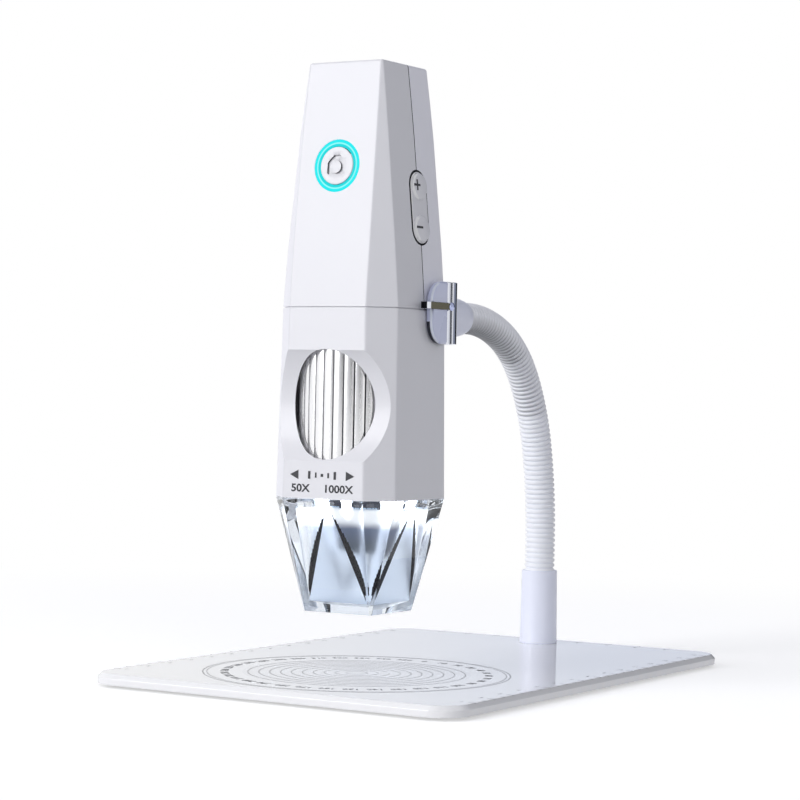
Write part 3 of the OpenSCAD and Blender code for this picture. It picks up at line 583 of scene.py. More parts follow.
# Zoom key's front edges: whiter as a painted highlight, glossier as real gloss.
KEY_EDGE_HIGHLIGHT = MouldedPlastic("key_edge_highlight", "shell_white", (255, 255, 255), roughness=0.16, coat=1.0)
LAVENDER = MouldedPlastic("lavender_plastic", "lavender_plastic", (238, 241, 255), roughness=0.38)
HOSE_WHITE = MouldedPlastic("hose_white", "hose_white", (249, 250, 255), roughness=0.42, mottle=0.05)
# Painted shade on the hose: darker grooves, and on the upper pieces darker faces that look down.
HOSE_SLOPE_UNDER_SHADE = replace(HOSE_WHITE, name="hose_slope_under_shade", under=0.4)
HOSE_BEND_UNDER_SHADE = replace(HOSE_WHITE, name="hose_bend_under_shade", under=0.7)
HOSE_GROOVE_SHADE = MouldedPlastic("hose_groove_shade", "hose_white", (240, 242, 249), roughness=0.6, mottle=0.05)
HOSE_FOLD_SHADE = replace(HOSE_GROOVE_SHADE, name="hose_fold_shade", colour=(226, 228, 237), under=0.4)
HOSE_CREASE_SHADE = replace(HOSE_GROOVE_SHADE, name="hose_crease_shade", colour=(160, 162, 174), under=0.7)
PAD_BLUE = MouldedPlastic("pad_blue", "pad_blue", (206, 212, 240), roughness=0.28, coat=0.8)
# Painted highlight on the pads' front bevels; PAD_SHADE is painted shadow at their lower inner edge.
PAD_EDGE_HIGHLIGHT = MouldedPlastic("pad_edge_highlight", "pad_blue", (234, 240, 255), roughness=0.12, coat=1.0)
PAD_SHADE = MouldedPlastic("pad_shade", "pad_blue", (30, 32, 46), roughness=0.5)
RUBBER = MouldedPlastic("foot_rubber", "foot_rubber", (46, 46, 48), roughness=0.8, depth=0.03)
# Black plastic for the dark parts, also put on as painted shade in the wheel's pocket and the bracket's
# creases.
BLACK_AND_PAINTED_SHADE = MouldedPlastic("black_plastic", "black_plastic", (24, 25, 30), roughness=0.32)
BARREL_NAVY = MouldedPlastic("barrel_navy", "black_plastic", (10, 13, 26), roughness=0.6, specular=0.1)
INK = MouldedPlastic("print_ink", "shell_white", (40, 41, 47), roughness=0.5, mottle=0.2)
STAGE_INK = MouldedPlastic("stage_ink", "stage_white", (58, 59, 64), roughness=0.3, mottle=0.3)
FLEX = MouldedPlastic("flex_amber", "flex_amber", (190, 128, 50), roughness=0.3)
CELL = MouldedPlastic("cell_pouch", "cell_pouch", (160, 178, 204), roughness=0.3)
# Chrome of the bracket, also put on the bands as a bright strip that is a painted highlight.
CHROME_AND_BAND_HIGHLIGHT = Metal("bracket_chrome", "bracket_chrome", (232, 234, 240), roughness=0.06)
BAND_BRONZE = Metal("band_bronze", "bracket_chrome", (96, 92, 74), roughness=0.22)
BAND_END = Metal("band_end", "bracket_chrome", (22, 22, 26), roughness=0.2)
RIVET_BLUE = Metal("rivet_blue", "bracket_chrome", (178, 186, 220), roughness=0.2)
WHEEL_PLATED = Metal(
    "wheel_plated", "wheel_plated", (250, 250, 252), roughness=0.14, metallic=0.78, spread=0.06, depth=0.003
)
# Painted shade in the grooves between the focus wheel's ribs.
WHEEL_GROOVE_SHADE = Metal("wheel_groove_shade", "wheel_plated", (52, 52, 56), roughness=0.3)
SCREW_STEEL = Metal("screw_steel", "screw_steel", (176, 177, 182), roughness=0.25)
CORE_STEEL = Metal("core_steel", "core_steel", (150, 151, 156), roughness=0.3)
HOOD_CLEAR = ClearPlastic("hood_clear", "hood_clear", (240, 245, 250), specular=0.1)
# Painted glow on the hood's frosted cavity, by level, standing in for the lamps' light inside the clear hood.
HOOD_PAINTED_GLOW = (
    (40.5, (60, 72, 88)),
    (44.6, (70, 84, 112)),
    (47.4, (246, 250, 255)),
    (49.6, (250, 253, 255)),
    (50.8, (120, 150, 180)),
)
HOOD_FROST_AND_GLOW = ClearPlastic("hood_frost_and_painted_glow", "hood_clear", (236, 242, 250), roughness=0.36, lit=HOOD_PAINTED_GLOW)
# Painted dark streaks in the clear hood, standing in for light bent by its walls.
HOOD_PAINTED_STREAK = MouldedPlastic("hood_painted_streak", "hood_clear", (5, 5, 18), roughness=0.5, specular=0.0)
LENS_GLASS = ClearPlastic("lens_glass", "lens_glass", (222, 232, 246), refraction=1.6, roughness=0.004)
STAGE_WHITE = StageLacquer("stage_white", "stage_white", (250, 250, 252))
LAMP = Glow("lamp_lens", "lamp_lens", (250, 253, 255), strength=9.0, fade=4.0)
# Painted glow on the white lamp board, a pool of light round the lamps.
LAMP_BOARD_PAINTED_GLOW = Glow("board_white", "board_white", (236, 244, 255), strength=1.6, fade=7.0)
BOARD_GREEN = BoardMask("board_green", "board_green", (16, 84, 44))


class Bench:
    """Operator helpers: one piece at a time is picked, shaped in edit mode and finished."""

    @staticmethod
    def clear() -> None:
        """Leave edit mode and deselect everything."""
        if bpy.context.mode != "OBJECT":
            bpy.ops.object.mode_set(mode="OBJECT")
        bpy.ops.object.select_all(action="DESELECT")

    @staticmethod
    def only(obj: Piece) -> None:
        """Select one object alone and leave edit mode.

        Args:
            obj: The object.
        """
        Bench.clear()
        obj.select_set(True)
        bpy.context.view_layer.objects.active = obj

    @staticmethod
    def edit(obj: Piece, mode: str = "VERT") -> bmesh.types.BMesh:
        """Enter edit mode with nothing selected.

        Args:
            obj: The object to shape.
            mode: What is picked, VERT, EDGE or FACE.

        Returns:
            The mesh being edited, for picking by place.
        """
        Bench.only(obj)
        bpy.ops.object.mode_set(mode="EDIT")
        bpy.ops.mesh.select_mode(type=mode)
        bpy.ops.mesh.select_all(action="DESELECT")
        return bmesh.from_edit_mesh(obj.data)

    @staticmethod
    def pick_all() -> None:
        """Select the whole mesh in edit mode."""
        bpy.ops.mesh.select_all(action="SELECT")

    @staticmethod
    def edit_all(obj: Piece, mode: str = "VERT") -> None:
        """Enter edit mode with everything selected."""
        Bench.edit(obj, mode)
        Bench.pick_all()

    @staticmethod
    def pick_edges(obj: Piece, test: FaceTest) -> None:
        """Select edges in edit mode.

        Args:
            obj: The object to shape.
            test: Takes an edge's two ends.
        """
        for edge in Bench.edit(obj, "EDGE").edges:
            edge.select_set(test(edge.verts[0].co, edge.verts[1].co))
        bmesh.update_edit_mesh(obj.data)

    @staticmethod
    def pick_level(obj: Piece, level: float) -> None:
        """Select the vertices at one level in edit mode.

        Args:
            obj: The object to shape.
            level: The level.
        """
        for corner in Bench.edit(obj).verts:
            corner.select_set(abs(corner.co.z - level) < 0.001)
        bmesh.update_edit_mesh(obj.data)

    @staticmethod
    def bisect(place: Point, normal: Point, **more: object) -> None:
        """Slice the whole mesh in edit mode.

        Args:
            place: A point on the plane.
            normal: The plane's normal.
            more: What else the operator is told.
        """
        Bench.pick_all()
        bpy.ops.mesh.bisect(plane_co=place, plane_no=normal, **more)

    @staticmethod
    def push(step: Point | Vector) -> None:
        """Extrude what is selected in edit mode."""
        bpy.ops.mesh.extrude_region_move(TRANSFORM_OT_translate={"value": step})

    @staticmethod
    def bevel(offset: float, segments: int) -> None:
        """Bevel the selected edges in edit mode."""
        bpy.ops.mesh.bevel(offset=offset, segments=segments, affect="EDGES", clamp_overlap=True)

    @staticmethod
    def weld(threshold: float) -> None:
        """Merge doubles over the whole mesh in edit mode, and leave everything selected.

        Args:
            threshold: Corners nearer than this merge, in millimetres.
        """
        Bench.pick_all()
        bpy.ops.mesh.remove_doubles(threshold=threshold)
        Bench.pick_all()

    @staticmethod
    def outward(obj: Piece) -> None:
        """Turn every face outwards.

        Args:
            obj: The piece.
        """
        Bench.edit_all(obj)
        bpy.ops.mesh.normals_make_consistent(inside=False)
        Bench.only(obj)

    @staticmethod
    def thicken(obj: Piece, depth: float) -> None:
        """Give flat faces a thickness along +Z and turn all faces outwards.

        Args:
            obj: The flat piece.
            depth: Its thickness.
        """
        Bench.edit_all(obj)
        Bench.push((0, 0, depth))
        Bench.outward(obj)

    @staticmethod
    def settle(obj: Piece, name: str) -> Piece:
        """Name a new primitive and put its place into its mesh.

        Args:
            obj: The new object.
            name: Its name.

        Returns:
            The same object.
        """
        obj.name = obj.data.name = name
        Bench.only(obj)
        bpy.ops.object.transform_apply(location=True, rotation=True, scale=True)
        return obj

    @staticmethod
    def tile(name: str, x: float, y: float, wide: float, deep: float) -> Piece:
        """Add a flat rectangle at level zero.

        Args:
            name: Its name.
            x: Its middle from left to right.
            y: Its middle from front to back.
            wide: Its size along X.
            deep: Its size along Y.

        Returns:
            The rectangle.
        """
        Bench.clear()
        bpy.ops.mesh.primitive_plane_add(size=1.0, location=(x, y, 0))
        bpy.context.object.scale = (wide, deep, 1)
        return Bench.settle(bpy.context.object, name)

    @staticmethod
    def block(name: str, low: Point, high: Point) -> Piece:
        """Add a block between two corners.

        Args:
            name: Its name.
            low: Lowest corner in millimetres.
            high: Highest corner in millimetres.

        Returns:
            The block.
        """
        Bench.clear()
        middle = (Vector(low) + Vector(high)) / 2
        bpy.ops.mesh.primitive_cube_add(size=1.0, location=middle)
        bpy.context.object.scale = Vector(high) - Vector(low)
        return Bench.settle(bpy.context.object, name)

    @staticmethod
    def rod(name: str, radius: float, start: Point, end: Point, sides: int = 96) -> Piece:
        """Add a cylinder between two points.

        Args:
            name: Its name.
            radius: Its radius.
            start: Middle of one end.
            end: Middle of the other end.
            sides: Number of sides.

        Returns:
            The cylinder.
        """
        Bench.clear()
        run = Vector(end) - Vector(start)
        turn = run.to_track_quat("Z", "Y").to_euler()
        middle = (Vector(start) + Vector(end)) / 2
        bpy.ops.mesh.primitive_cylinder_add(
            vertices=sides, radius=radius, depth=run.length, location=middle, rotation=turn
        )
        return Bench.settle(bpy.context.object, name)

    @staticmethod
    def prism(name: str, width: float, height: float, corner: float, depth: float, steps: int = 12) -> Piece:
        """Add a plate with round corners, flat on the XY plane and extruded along +Z.

        Args:
            name: Its name.
            width: Size along X.
            height: Size along Y.
            corner: Radius of the corners.
            depth: Thickness along Z.
            steps: Segments in each corner.

        Returns:
            The plate.
        """
        plate = Bench.tile(name, 0, 0, width, height)
        Bench.edit_all(plate)
        bpy.ops.mesh.bevel(offset=corner, segments=steps, affect="VERTICES", clamp_overlap=True)
        Bench.weld(0.001)
        Bench.thicken(plate, depth)
        return plate

    @staticmethod
    def lathe(name: str, profile: Sequence[Spot], steps: int = 96, closed: bool = False) -> Piece:
        """Spin a profile round the Z axis.

        Args:
            name: The piece's name.
            profile: Radius and height of each point.
            steps: Segments round the axis.
            closed: Whether the profile's ends join, as in a ring.

        Returns:
            The spun piece.
        """
        piece = Bench.tile(name, 0, 0, 1, 1)
        Bench.edit_all(piece)
        bpy.ops.mesh.merge(type="CENTER")
        Bench.pick_all()
        points = [Vector((r, 0, z)) for r, z in profile]
        if closed:
            points.append(points[0])
        bpy.ops.transform.translate(value=points[0])
        for before, after in zip(points, points[1:]):
            Bench.push(after - before)
        Bench.weld(0.0005)
        bpy.ops.mesh.spin(steps=steps, angle=math.tau, use_auto_merge=True, center=(0, 0, 0), axis=(0, 0, 1))
        Bench.weld(0.0005)
        Bench.outward(piece)
        return piece

    @staticmethod
    def frustum(
        name: str,
        heights: Spot,
        halves: Spot,
        legs: Spot,
        round_off: float = 0.0,
        knots: Sequence[Spot] = (),
    ) -> Piece:
        """Add a tapered block on the optical axis with its upright corners cut off.

        Args:
            name: Its name.
            heights: Its lowest and highest level.
            halves: Half its width across flats, low and high.
            legs: Leg of the corner cuts, low and high.
            round_off: Setback of the rounding along the upright edges.
            knots: Levels between the ends, rising, with their own half widths.

        Returns:
            The block.
        """
        low, high = heights
        half, half_top = halves
        block = Bench.block(name, (-half, AXIS_Y - half, low), (half, AXIS_Y + half, high))
        Bench.pick_level(block, high)
        taper = half_top / half
        bpy.ops.transform.resize(value=(taper, taper, 1), center_override=(0, AXIS_Y, high))
        reach = 2 * half - legs[0]
        slope = (reach - 2 * half_top + legs[1]) / (high - low)
        for x in (-1, 1):
            for y in (-1, 1):
                corner = (x * reach / 2, AXIS_Y + y * reach / 2, low)
                facing = Vector((x, y, slope)).normalized()
                Bench.bisect(corner, facing, use_fill=True, clear_outer=True, threshold=0.0001)
        below, wide = low, half
        for level, swollen in knots:
            Bench.bisect((0, AXIS_Y, level), (0, 0, 1))
            straight = wide + (half_top - wide) * (level - below) / (high - below)
            Bench.pick_level(block, level)
            grow = swollen / straight
            bpy.ops.transform.resize(value=(grow, grow, 1), center_override=(0, AXIS_Y, level))
            below, wide = level, swollen
        if round_off:
            Bench.pick_edges(block, lambda a, b: abs((b - a).normalized().z) > 0.9)
            Bench.bevel(round_off, 5)
        Bench.outward(block)
        return block

    @staticmethod
    def cut(obj: Piece, tool: Piece, how: Cut = Cut.AWAY) -> None:
        """Cut a shape out of another, join it on or keep what both share, and remove the tool.

        Args:
            obj: The shape that stays.
            tool: The shape that is used up.
            how: Cut away, join or keep.
        """
        Bench.only(obj)
        step = obj.modifiers.new("cut", "BOOLEAN")
        step.operation = how.value
        step.solver = "EXACT"
        step.object = tool
        bpy.ops.object.modifier_apply(modifier=step.name)
        bpy.data.objects.remove(tool, do_unlink=True)

    @staticmethod
    def soften(
        obj: Piece, width: float, segments: int = 3, angle: float = 40.0, flat_from: float = math.inf
    ) -> None:
        """Round the sharp edges that are left and even out the shading.

        Args:
            obj: The piece.
            width: Width of the rounding in millimetres.
            segments: Steps of the rounding.
            angle: Edges sharper than this are rounded, in degrees.
            flat_from: Faces of at least this area, in square millimetres, shade flat.
        """
        Bench.only(obj)
        if width:
            step = obj.modifiers.new("rounding", "BEVEL")
            step.width = width
            step.segments = segments
            step.limit_method = "ANGLE"
            step.angle_limit = math.radians(angle)
            step.use_clamp_overlap = True
            bpy.ops.object.modifier_apply(modifier=step.name)
        bpy.ops.object.shade_smooth_by_angle(angle=math.radians(angle))
        for face in obj.data.polygons:
            face.use_smooth = face.area < flat_from
        even = obj.modifiers.new("even_shading", "WEIGHTED_NORMAL")
        even.keep_sharp = True
        bpy.ops.object.modifier_apply(modifier=even.name)

    @staticmethod
    def move(obj: Piece, place: Matrix) -> Piece:
        """Bring a piece to a place and put the place into its mesh.

        Args:
            obj: The piece.
            place: Its place.

        Returns:
            The same piece.
        """
        obj.matrix_world = place
        return Bench.settle(obj, obj.name)

    @staticmethod
    def shift(obj: Piece, x: float, y: float, z: float) -> Piece:
        """Move a piece straight and return it."""
        return Bench.move(obj, Matrix.Translation((x, y, z)))

    @staticmethod
    def twin(obj: Piece, place: Matrix) -> Piece:
        """Copy a piece with its own mesh and move the copy.

        Args:
            obj: The piece.
            place: The copy's place.

        Returns:
            The copy.
        """
        Bench.only(obj)
        bpy.ops.object.duplicate(linked=False)
        return Bench.move(bpy.context.object, place)

    @staticmethod
    def join(pieces: Sequence[Piece], name: str) -> Piece:
        """Join pieces into the first one.

        Args:
            pieces: The pieces.
            name: The joined piece's name.

        Returns:
            The joined piece.
        """
        Bench.only(pieces[0])
        for piece in pieces[1:]:
            piece.select_set(True)
        bpy.ops.object.join()
        joined = bpy.context.object
        joined.name = joined.data.name = name
        return joined

    @staticmethod
    def letters(name: str, words: str, size: float, bold: float = 0.0) -> Piece:
        """Write a number as a flat mesh, centred on the origin of the XY plane.

        Args:
            name: The piece's name.
            words: What is written.
            size: Letter size in millimetres.
            bold: How much the strokes are thickened.

        Returns:
            The mesh.
        """
        Bench.clear()
        bpy.ops.object.text_add()
        text = bpy.context.object
        text.data.body = words
        text.data.size = size
        text.data.offset = bold
        text.data.align_x = "CENTER"
        text.data.align_y = "CENTER"
        text.data.resolution_u = 3
        bpy.ops.object.convert(target="MESH")
        return Bench.settle(bpy.context.object, name)

    @staticmethod
    def hand_over(obj: Piece, finish: Finish, body: Body, stands_for: Sequence[str] = ()) -> Piece:
        """Bring a finished piece to metres, dress it and let it ride on its body.

        Args:
            obj: The piece, in millimetres.
            finish: What it is made of.
            body: The CAD body that carries it.
            stands_for: CAD nodes that it replaces.

        Returns:
            The same piece.
        """
        Bench.to_metres(obj, finish)
        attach(obj, body.value)
        if stands_for:
            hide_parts(*stands_for)
        LOG.info("%s rides on %s with %d faces", obj.name, body.value, len(obj.data.polygons))
        return obj

    @staticmethod
    def tint(obj: Piece, finish: Finish, test: FaceTest) -> None:
        """Give some faces of a finished piece a second finish.

        Args:
            obj: The piece, in metres.
            finish: The second finish.
            test: Takes a face's middle in millimetres and its normal.
        """
        obj.data.materials.append(finish.material())
        second = len(obj.data.materials) - 1
        for face in obj.data.polygons:
            if test(face.center / MM, face.normal):
                face.material_index = second

    @staticmethod
    def to_metres(obj: Piece, finish: Finish) -> None:
        """Scale a piece from millimetres and give it its one finish.

        Args:
            obj: The piece.
            finish: What it is made of.
        """
        Bench.only(obj)
        obj.scale = (MM, MM, MM)
        bpy.ops.object.transform_apply(location=True, rotation=True, scale=True)
        obj.data.materials.clear()
        obj.data.materials.append(finish.material())


def dress_nodes(finish: Finish, *nodes: str) -> None:
    """Give CAD nodes that stay in view a finish.

    Args:
        finish: The finish.
        nodes: The nodes' names.
    """
    for name in nodes:
        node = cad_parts[name]
        node.data.materials.clear()
        node.data.materials.append(finish.material())
        LOG.info("%s keeps its CAD shape in %s", name, finish.name)


@dataclass
class Stage:
    """The stage plate with its feet and its printed scale."""

    width: float = 116.0
    depth: float = 165.0
    thick: float = 3.0
    corner: float = 9.0
    bevel: float = 1.2
    foot_h: float = 0.8
    foot_r: float = 5.0
    foot_inset: float = 14.0
    ring_pairs: tuple[Spot, ...] = ((42.35, 0.3), (41.25, 0.22))
    inner_rings: int = 10
    ring_pitch: float = 3.0
    line: float = 0.22
    number_r: float = 36.3
    number_h: float = 3.1
    margin: float = 3.2
    ruler_h: float = 2.0
    ruler_in: float = 0.97
    ink: float = 0.03

    @property
    def top(self) -> float:
        """Level of the plate's upper face."""
        return self.foot_h + self.thick

    def build(self) -> None:
        """Build the plate, the feet and the print."""
        self.plate()
        self.feet()
        self.printed_scale()
        dress_nodes(SCREW_STEEL, "post_screw")

    def plate(self) -> None:
        """Build the plate with its bevelled upper edge."""
        plate = Bench.prism("stage_plate_skin", self.width, self.depth, self.corner, self.thick, steps=20)
        Bench.shift(plate, 0, 0, self.foot_h)
        top = self.top
        Bench.pick_edges(plate, lambda a, b: min(a.z, b.z) > top - 0.01)
        Bench.bevel(self.bevel, 1)
        Bench.soften(plate, 0.14, 2, 30)
        Bench.hand_over(plate, STAGE_WHITE, Body.STAND, ["stage_plate"])

    def feet(self) -> None:
        """Build one foot with a dished sole and copy it to the corners."""
        r, h = self.foot_r, self.foot_h
        sole = [(0, 0.15), (r - 1.2, 0.15), (r - 1.0, 0), (r - 0.2, 0)]
        foot = Bench.lathe("stage_feet_pads", [*sole, (r, 0.2), (r, h), (0, h)])
        x, y = self.width / 2 - self.foot_inset, self.depth / 2 - self.foot_inset
        spots = [(-x, y, 0), (x, -y, 0), (-x, -y, 0)]
        copies = [Bench.twin(foot, Matrix.Translation(spot)) for spot in spots]
        Bench.shift(foot, x, y, 0)
        feet = Bench.join([foot, *copies], "stage_feet_pads")
        Bench.soften(feet, 0.0)
        Bench.hand_over(feet, RUBBER, Body.STAND, ["stage_feet"])

    def ring(self, radius: float, line: float) -> Piece:
        """Draw one flat printed ring round the optical axis.

        Args:
            radius: Its middle radius.
            line: Its line width.

        Returns:
            The ring.
        """
        return Bench.lathe("ring", [(radius - line / 2, 0), (radius + line / 2, 0)], steps=144)

    def printed_scale(self) -> None:
        """Print the rings, the degree numbers and the edge rulers as one thin layer."""
        marks = [self.ring(r, w) for r, w in self.ring_pairs]
        marks += [self.ring(self.ring_pitch * (i + 1), self.line) for i in range(self.inner_rings)]
        for degrees in range(0, 360, 10):
            turn = Matrix.Rotation(math.radians(-degrees), 4, "Z")
            out = Matrix.Translation((0, self.number_r, 0))
            number = Bench.letters("number", str(degrees), self.number_h, bold=0.06)
            marks.append(Bench.move(number, turn @ out))
        scale = Bench.join(marks, "stage_scale_print")
        Bench.shift(scale, 0, AXIS_Y, 0)
        scale = Bench.join([scale, *self.rulers()], scale.name)
        Bench.thicken(scale, self.ink)
        Bench.shift(scale, 0, 0, self.top - self.ink / 3)
        Bench.hand_over(scale, STAGE_INK, Body.STAND)

    def number(self, value: int, x: float, y: float) -> Piece:
        """Write one small number beside a ruler."""
        return Bench.shift(Bench.letters("tick", str(value), self.ruler_h), x, y, 0)

    def rulers(self) -> list[Piece]:
        """Draw the fine rulers along the plate's two sides and its back.

        Returns:
            The ticks and numbers.
        """
        marks = []
        side, back = self.width / 2 - self.margin, self.depth / 2 - self.margin
        for step in range(-7, 8):
            y = step * 10.0
            for x in (-side, side):
                marks.append(self.number(step + 8, x * self.ruler_in, y))
                marks.append(Bench.tile("tick", x + math.copysign(1.4, x), y, 2.2, 0.25))
                marks.append(Bench.tile("tick", x + math.copysign(1.9, x), y + 5, 1.2, 0.2))
        for step in range(-4, 5):
            x = step * 10.0
            if abs(x) > 6:
                marks.append(Bench.tile("tick", x, back + 1.2, 0.25, 2.2))
                marks.append(self.number(step + 5, x, back - 1.6))
        return marks


@dataclass
class Post:
    """The sleeve that stands on the stage and carries the gooseneck."""

    y: float = 70.5
    bottom: float = 3.8
    top: float = 26.5
    foot_r: float = 5.8
    top_r: float = 5.5
    bore_r: float = 4.77
    seat: float = 4.0
    lip: float = 0.35

    def build(self) -> None:
        """Build the sleeve with its rounded lip and the hose seat."""
        height = self.top - self.bottom
        sleeve = Bench.lathe(
            "post_sleeve_skin",
            [
                (0, 0),
                (self.foot_r - 0.2, 0),
                (self.foot_r, 0.2),
                (self.top_r, height - self.lip),
                (self.top_r - self.lip * 0.3, height - self.lip * 0.3),
                (self.top_r - self.lip, height),
                (self.bore_r, height),
                (self.bore_r, height - self.seat),
                (0, height - self.seat),
            ],
        )
        Bench.shift(sleeve, 0, self.y, self.bottom)
        Bench.soften(sleeve, 0.0)
        Bench.hand_over(sleeve, LAVENDER, Body.STAND, ["post_sleeve"])


@dataclass
class Gooseneck:
    """The ribbed hose that bends at four joints, and the collar at its end."""

    post_y: float = 70.5
    post_top: float = 26.5
    level: float = 103.4
    seat: float = 3.9
    runs: tuple[float, ...] = (29.0, 22.0, 22.0, 20.5)
    turns: tuple[float, ...] = (14.0, 19.5, 33.0, 23.5)
    hose_r: float = 4.65
    groove: float = 0.6
    pitch: float = 1.55
    sides: int = 48
    rib: tuple[Spot, ...] = (
        (0.0, 1.0),
        (0.12, 0.75),
        (0.22, 0.2),
        (0.38, 0.0),
        (0.62, 0.0),
        (0.78, 0.2),
        (0.88, 0.75),
        (1.0, 1.0),
    )
    crest: Spot = (0.12, 0.88)
    collar_r: float = 5.75
    collar_front: float = -14.923
    collar_taper: float = 3.5
    collar_back: float = 4.8
    bodies: tuple[Body, ...] = (
        Body.NECK_FOOT,
        Body.NECK_LOWER,
        Body.NECK_MIDDLE,
        Body.NECK_UPPER,
        Body.HOLDER,
    )
    nodes: tuple[tuple[str, ...], ...] = (
        ("neck_hose_foot",),
        ("neck_hose_lower",),
        ("neck_hose_middle",),
        ("neck_hose_upper", "neck_hose_head"),
    )

    def radius(self, run: int) -> float:
        """Bend radius of one run."""
        return self.runs[run] / math.radians(self.turns[run])

    def foot_run(self) -> float:
        """Find the straight length above the post.

        Returns:
            The length that ends the route at the holder's level.
        """
        rise, heading = 0.0, 0.0
        for run, turn in enumerate(self.turns):
            start, end = math.radians(heading), math.radians(heading + turn)
            rise += self.radius(run) * (math.sin(end) - math.sin(start))
            heading += turn
        return self.level - self.post_top - rise

    def at(self, length: float) -> Vector:
        """Find a point on the route.

        Args:
            length: Distance along the route from the post's top; below zero it is in the post.

        Returns:
            The point in millimetres.
        """
        foot = self.foot_run()
        y, z, left, heading = self.post_y, self.post_top, length, 0.0
        straight = min(left, foot)
        z += straight
        left -= straight
        for run, turn in enumerate(self.turns):
            if left <= 0:
                break
            part = min(left / self.runs[run], 1.0)
            start, end = math.radians(heading), math.radians(heading + turn * part)
            y += self.radius(run) * (math.cos(end) - math.cos(start))
            z += self.radius(run) * (math.sin(end) - math.sin(start))
            heading += turn * part
            left -= part * self.runs[run]
        return Vector((0, y - max(left, 0.0), z))

    def build(self) -> None:
        """Build the hose in four pieces bent along its route, and the collar."""
        foot = self.foot_run()
        joints = [foot + sum(self.runs[:i]) for i in range(4)]
        middles = [joints[i] + self.runs[i] / 2 for i in range(3)]
        ends = [-self.seat, *middles, foot + sum(self.runs) + 2 * self.hose_r]
        ribs = round((ends[-1] - ends[0]) / self.pitch)
        pitch = (ends[-1] - ends[0]) / ribs
        marks = [round((end - ends[0]) / pitch) for end in ends]
        names = ("hose_foot_bend", "hose_lower_bend", "hose_middle_bend", "hose_head_bend")
        for i, name in enumerate(names):
            piece = self.hose(name, marks[i] * pitch, marks[i + 1] - marks[i], pitch)
            shades = [face.material_index for face in piece.data.polygons]
            # Painted shade: grooves are darker, most on the upper pieces, and the upper pieces darken faces
            # that look down.
            plain = (HOSE_WHITE, HOSE_WHITE, HOSE_SLOPE_UNDER_SHADE, HOSE_BEND_UNDER_SHADE)[i]
            groove = (HOSE_GROOVE_SHADE, HOSE_GROOVE_SHADE, HOSE_FOLD_SHADE, HOSE_CREASE_SHADE)[i]
            Bench.to_metres(piece, plain)
            piece.data.materials.append(groove.material())
            piece.data.polygons.foreach_set("material_index", shades)
            reach_back = foot if i == 0 else self.runs[i - 1] / 2
            start = self.at(joints[i] - reach_back) * MM
            end = self.at(joints[i] + self.runs[i] / 2) * MM
            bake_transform(piece)
            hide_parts(*self.nodes[i])
            LOG.info("%s bends between %s and %s", name, self.bodies[i].value, self.bodies[i + 1].value)
        self.collar()
        dress_nodes(CORE_STEEL, "neck_plug", "neck_core_foot", "neck_core_lower", "neck_core_middle")
        dress_nodes(CORE_STEEL, "neck_core_upper", "neck_core_head")

    def hose(self, name: str, start: float, ribs: int, pitch: float) -> Piece:
        """Model one rib, repeat it and bend the row along the route.

        Args:
            name: The piece's name.
            start: Distance of its first rib from the hose's beginning.
            ribs: Number of ribs.
            pitch: Length of one rib.

        Returns:
            The bent hose piece in millimetres.
        """
        Bench.clear()
        first = self.hose_r - self.groove * self.rib[0][1]
        bpy.ops.mesh.primitive_circle_add(
            vertices=self.sides, radius=first, location=(start, 0, 0), rotation=(0, math.pi / 2, 0)
        )
        piece = Bench.settle(bpy.context.object, name)
        Bench.edit_all(piece, "EDGE")
        for (x0, d0), (x1, d1) in zip(self.rib, self.rib[1:]):
            Bench.push(((x1 - x0) * pitch, 0, 0))
            grow = (self.hose_r - self.groove * d1) / (self.hose_r - self.groove * d0)
            bpy.ops.transform.resize(value=(1, grow, grow), center_override=(start + x1 * pitch, 0, 0))
        Bench.outward(piece)
        # Faces outside the crest take the second finish, the painted groove shade.
        low, high = self.crest
        for face in piece.data.polygons:
            share = (face.center.x - start) / pitch
            face.material_index = int(not low < share < high)
        row = piece.modifiers.new("row", "ARRAY")
        row.count = ribs
        row.use_relative_offset = False
        row.use_constant_offset = True
        row.constant_offset_displace = (pitch, 0, 0)
        row.use_merge_vertices = True
        row.merge_threshold = 0.01
        bpy.ops.object.modifier_apply(modifier=row.name)
        route = self.route()
        Bench.only(piece)
        bend = piece.modifiers.new("bend", "CURVE")
        bend.object = route
        bend.deform_axis = "POS_X"
        bpy.ops.object.modifier_apply(modifier=bend.name)
        bpy.data.objects.remove(route, do_unlink=True)
        Bench.outward(piece)
        bpy.ops.object.shade_smooth()
        return piece

    def route(self) -> Piece:
        """Draw the hose's route as a curve.

        Returns:
            The curve.
        """
        total = self.seat + self.foot_run() + sum(self.runs) + 2 * self.hose_r
        points = [self.at(i * total / 240 - self.seat) for i in range(241)]
        line = bpy.data.curves.new("hose_route", "CURVE")
        line.dimensions = "3D"
        spline = line.splines.new("POLY")
        spline.points.add(len(points) - 1)
        for spot, point in zip(spline.points, points):
            spot.co = (*point, 1)
        route = bpy.data.objects.new("hose_route", line)
        bpy.context.scene.collection.objects.link(route)
        return route

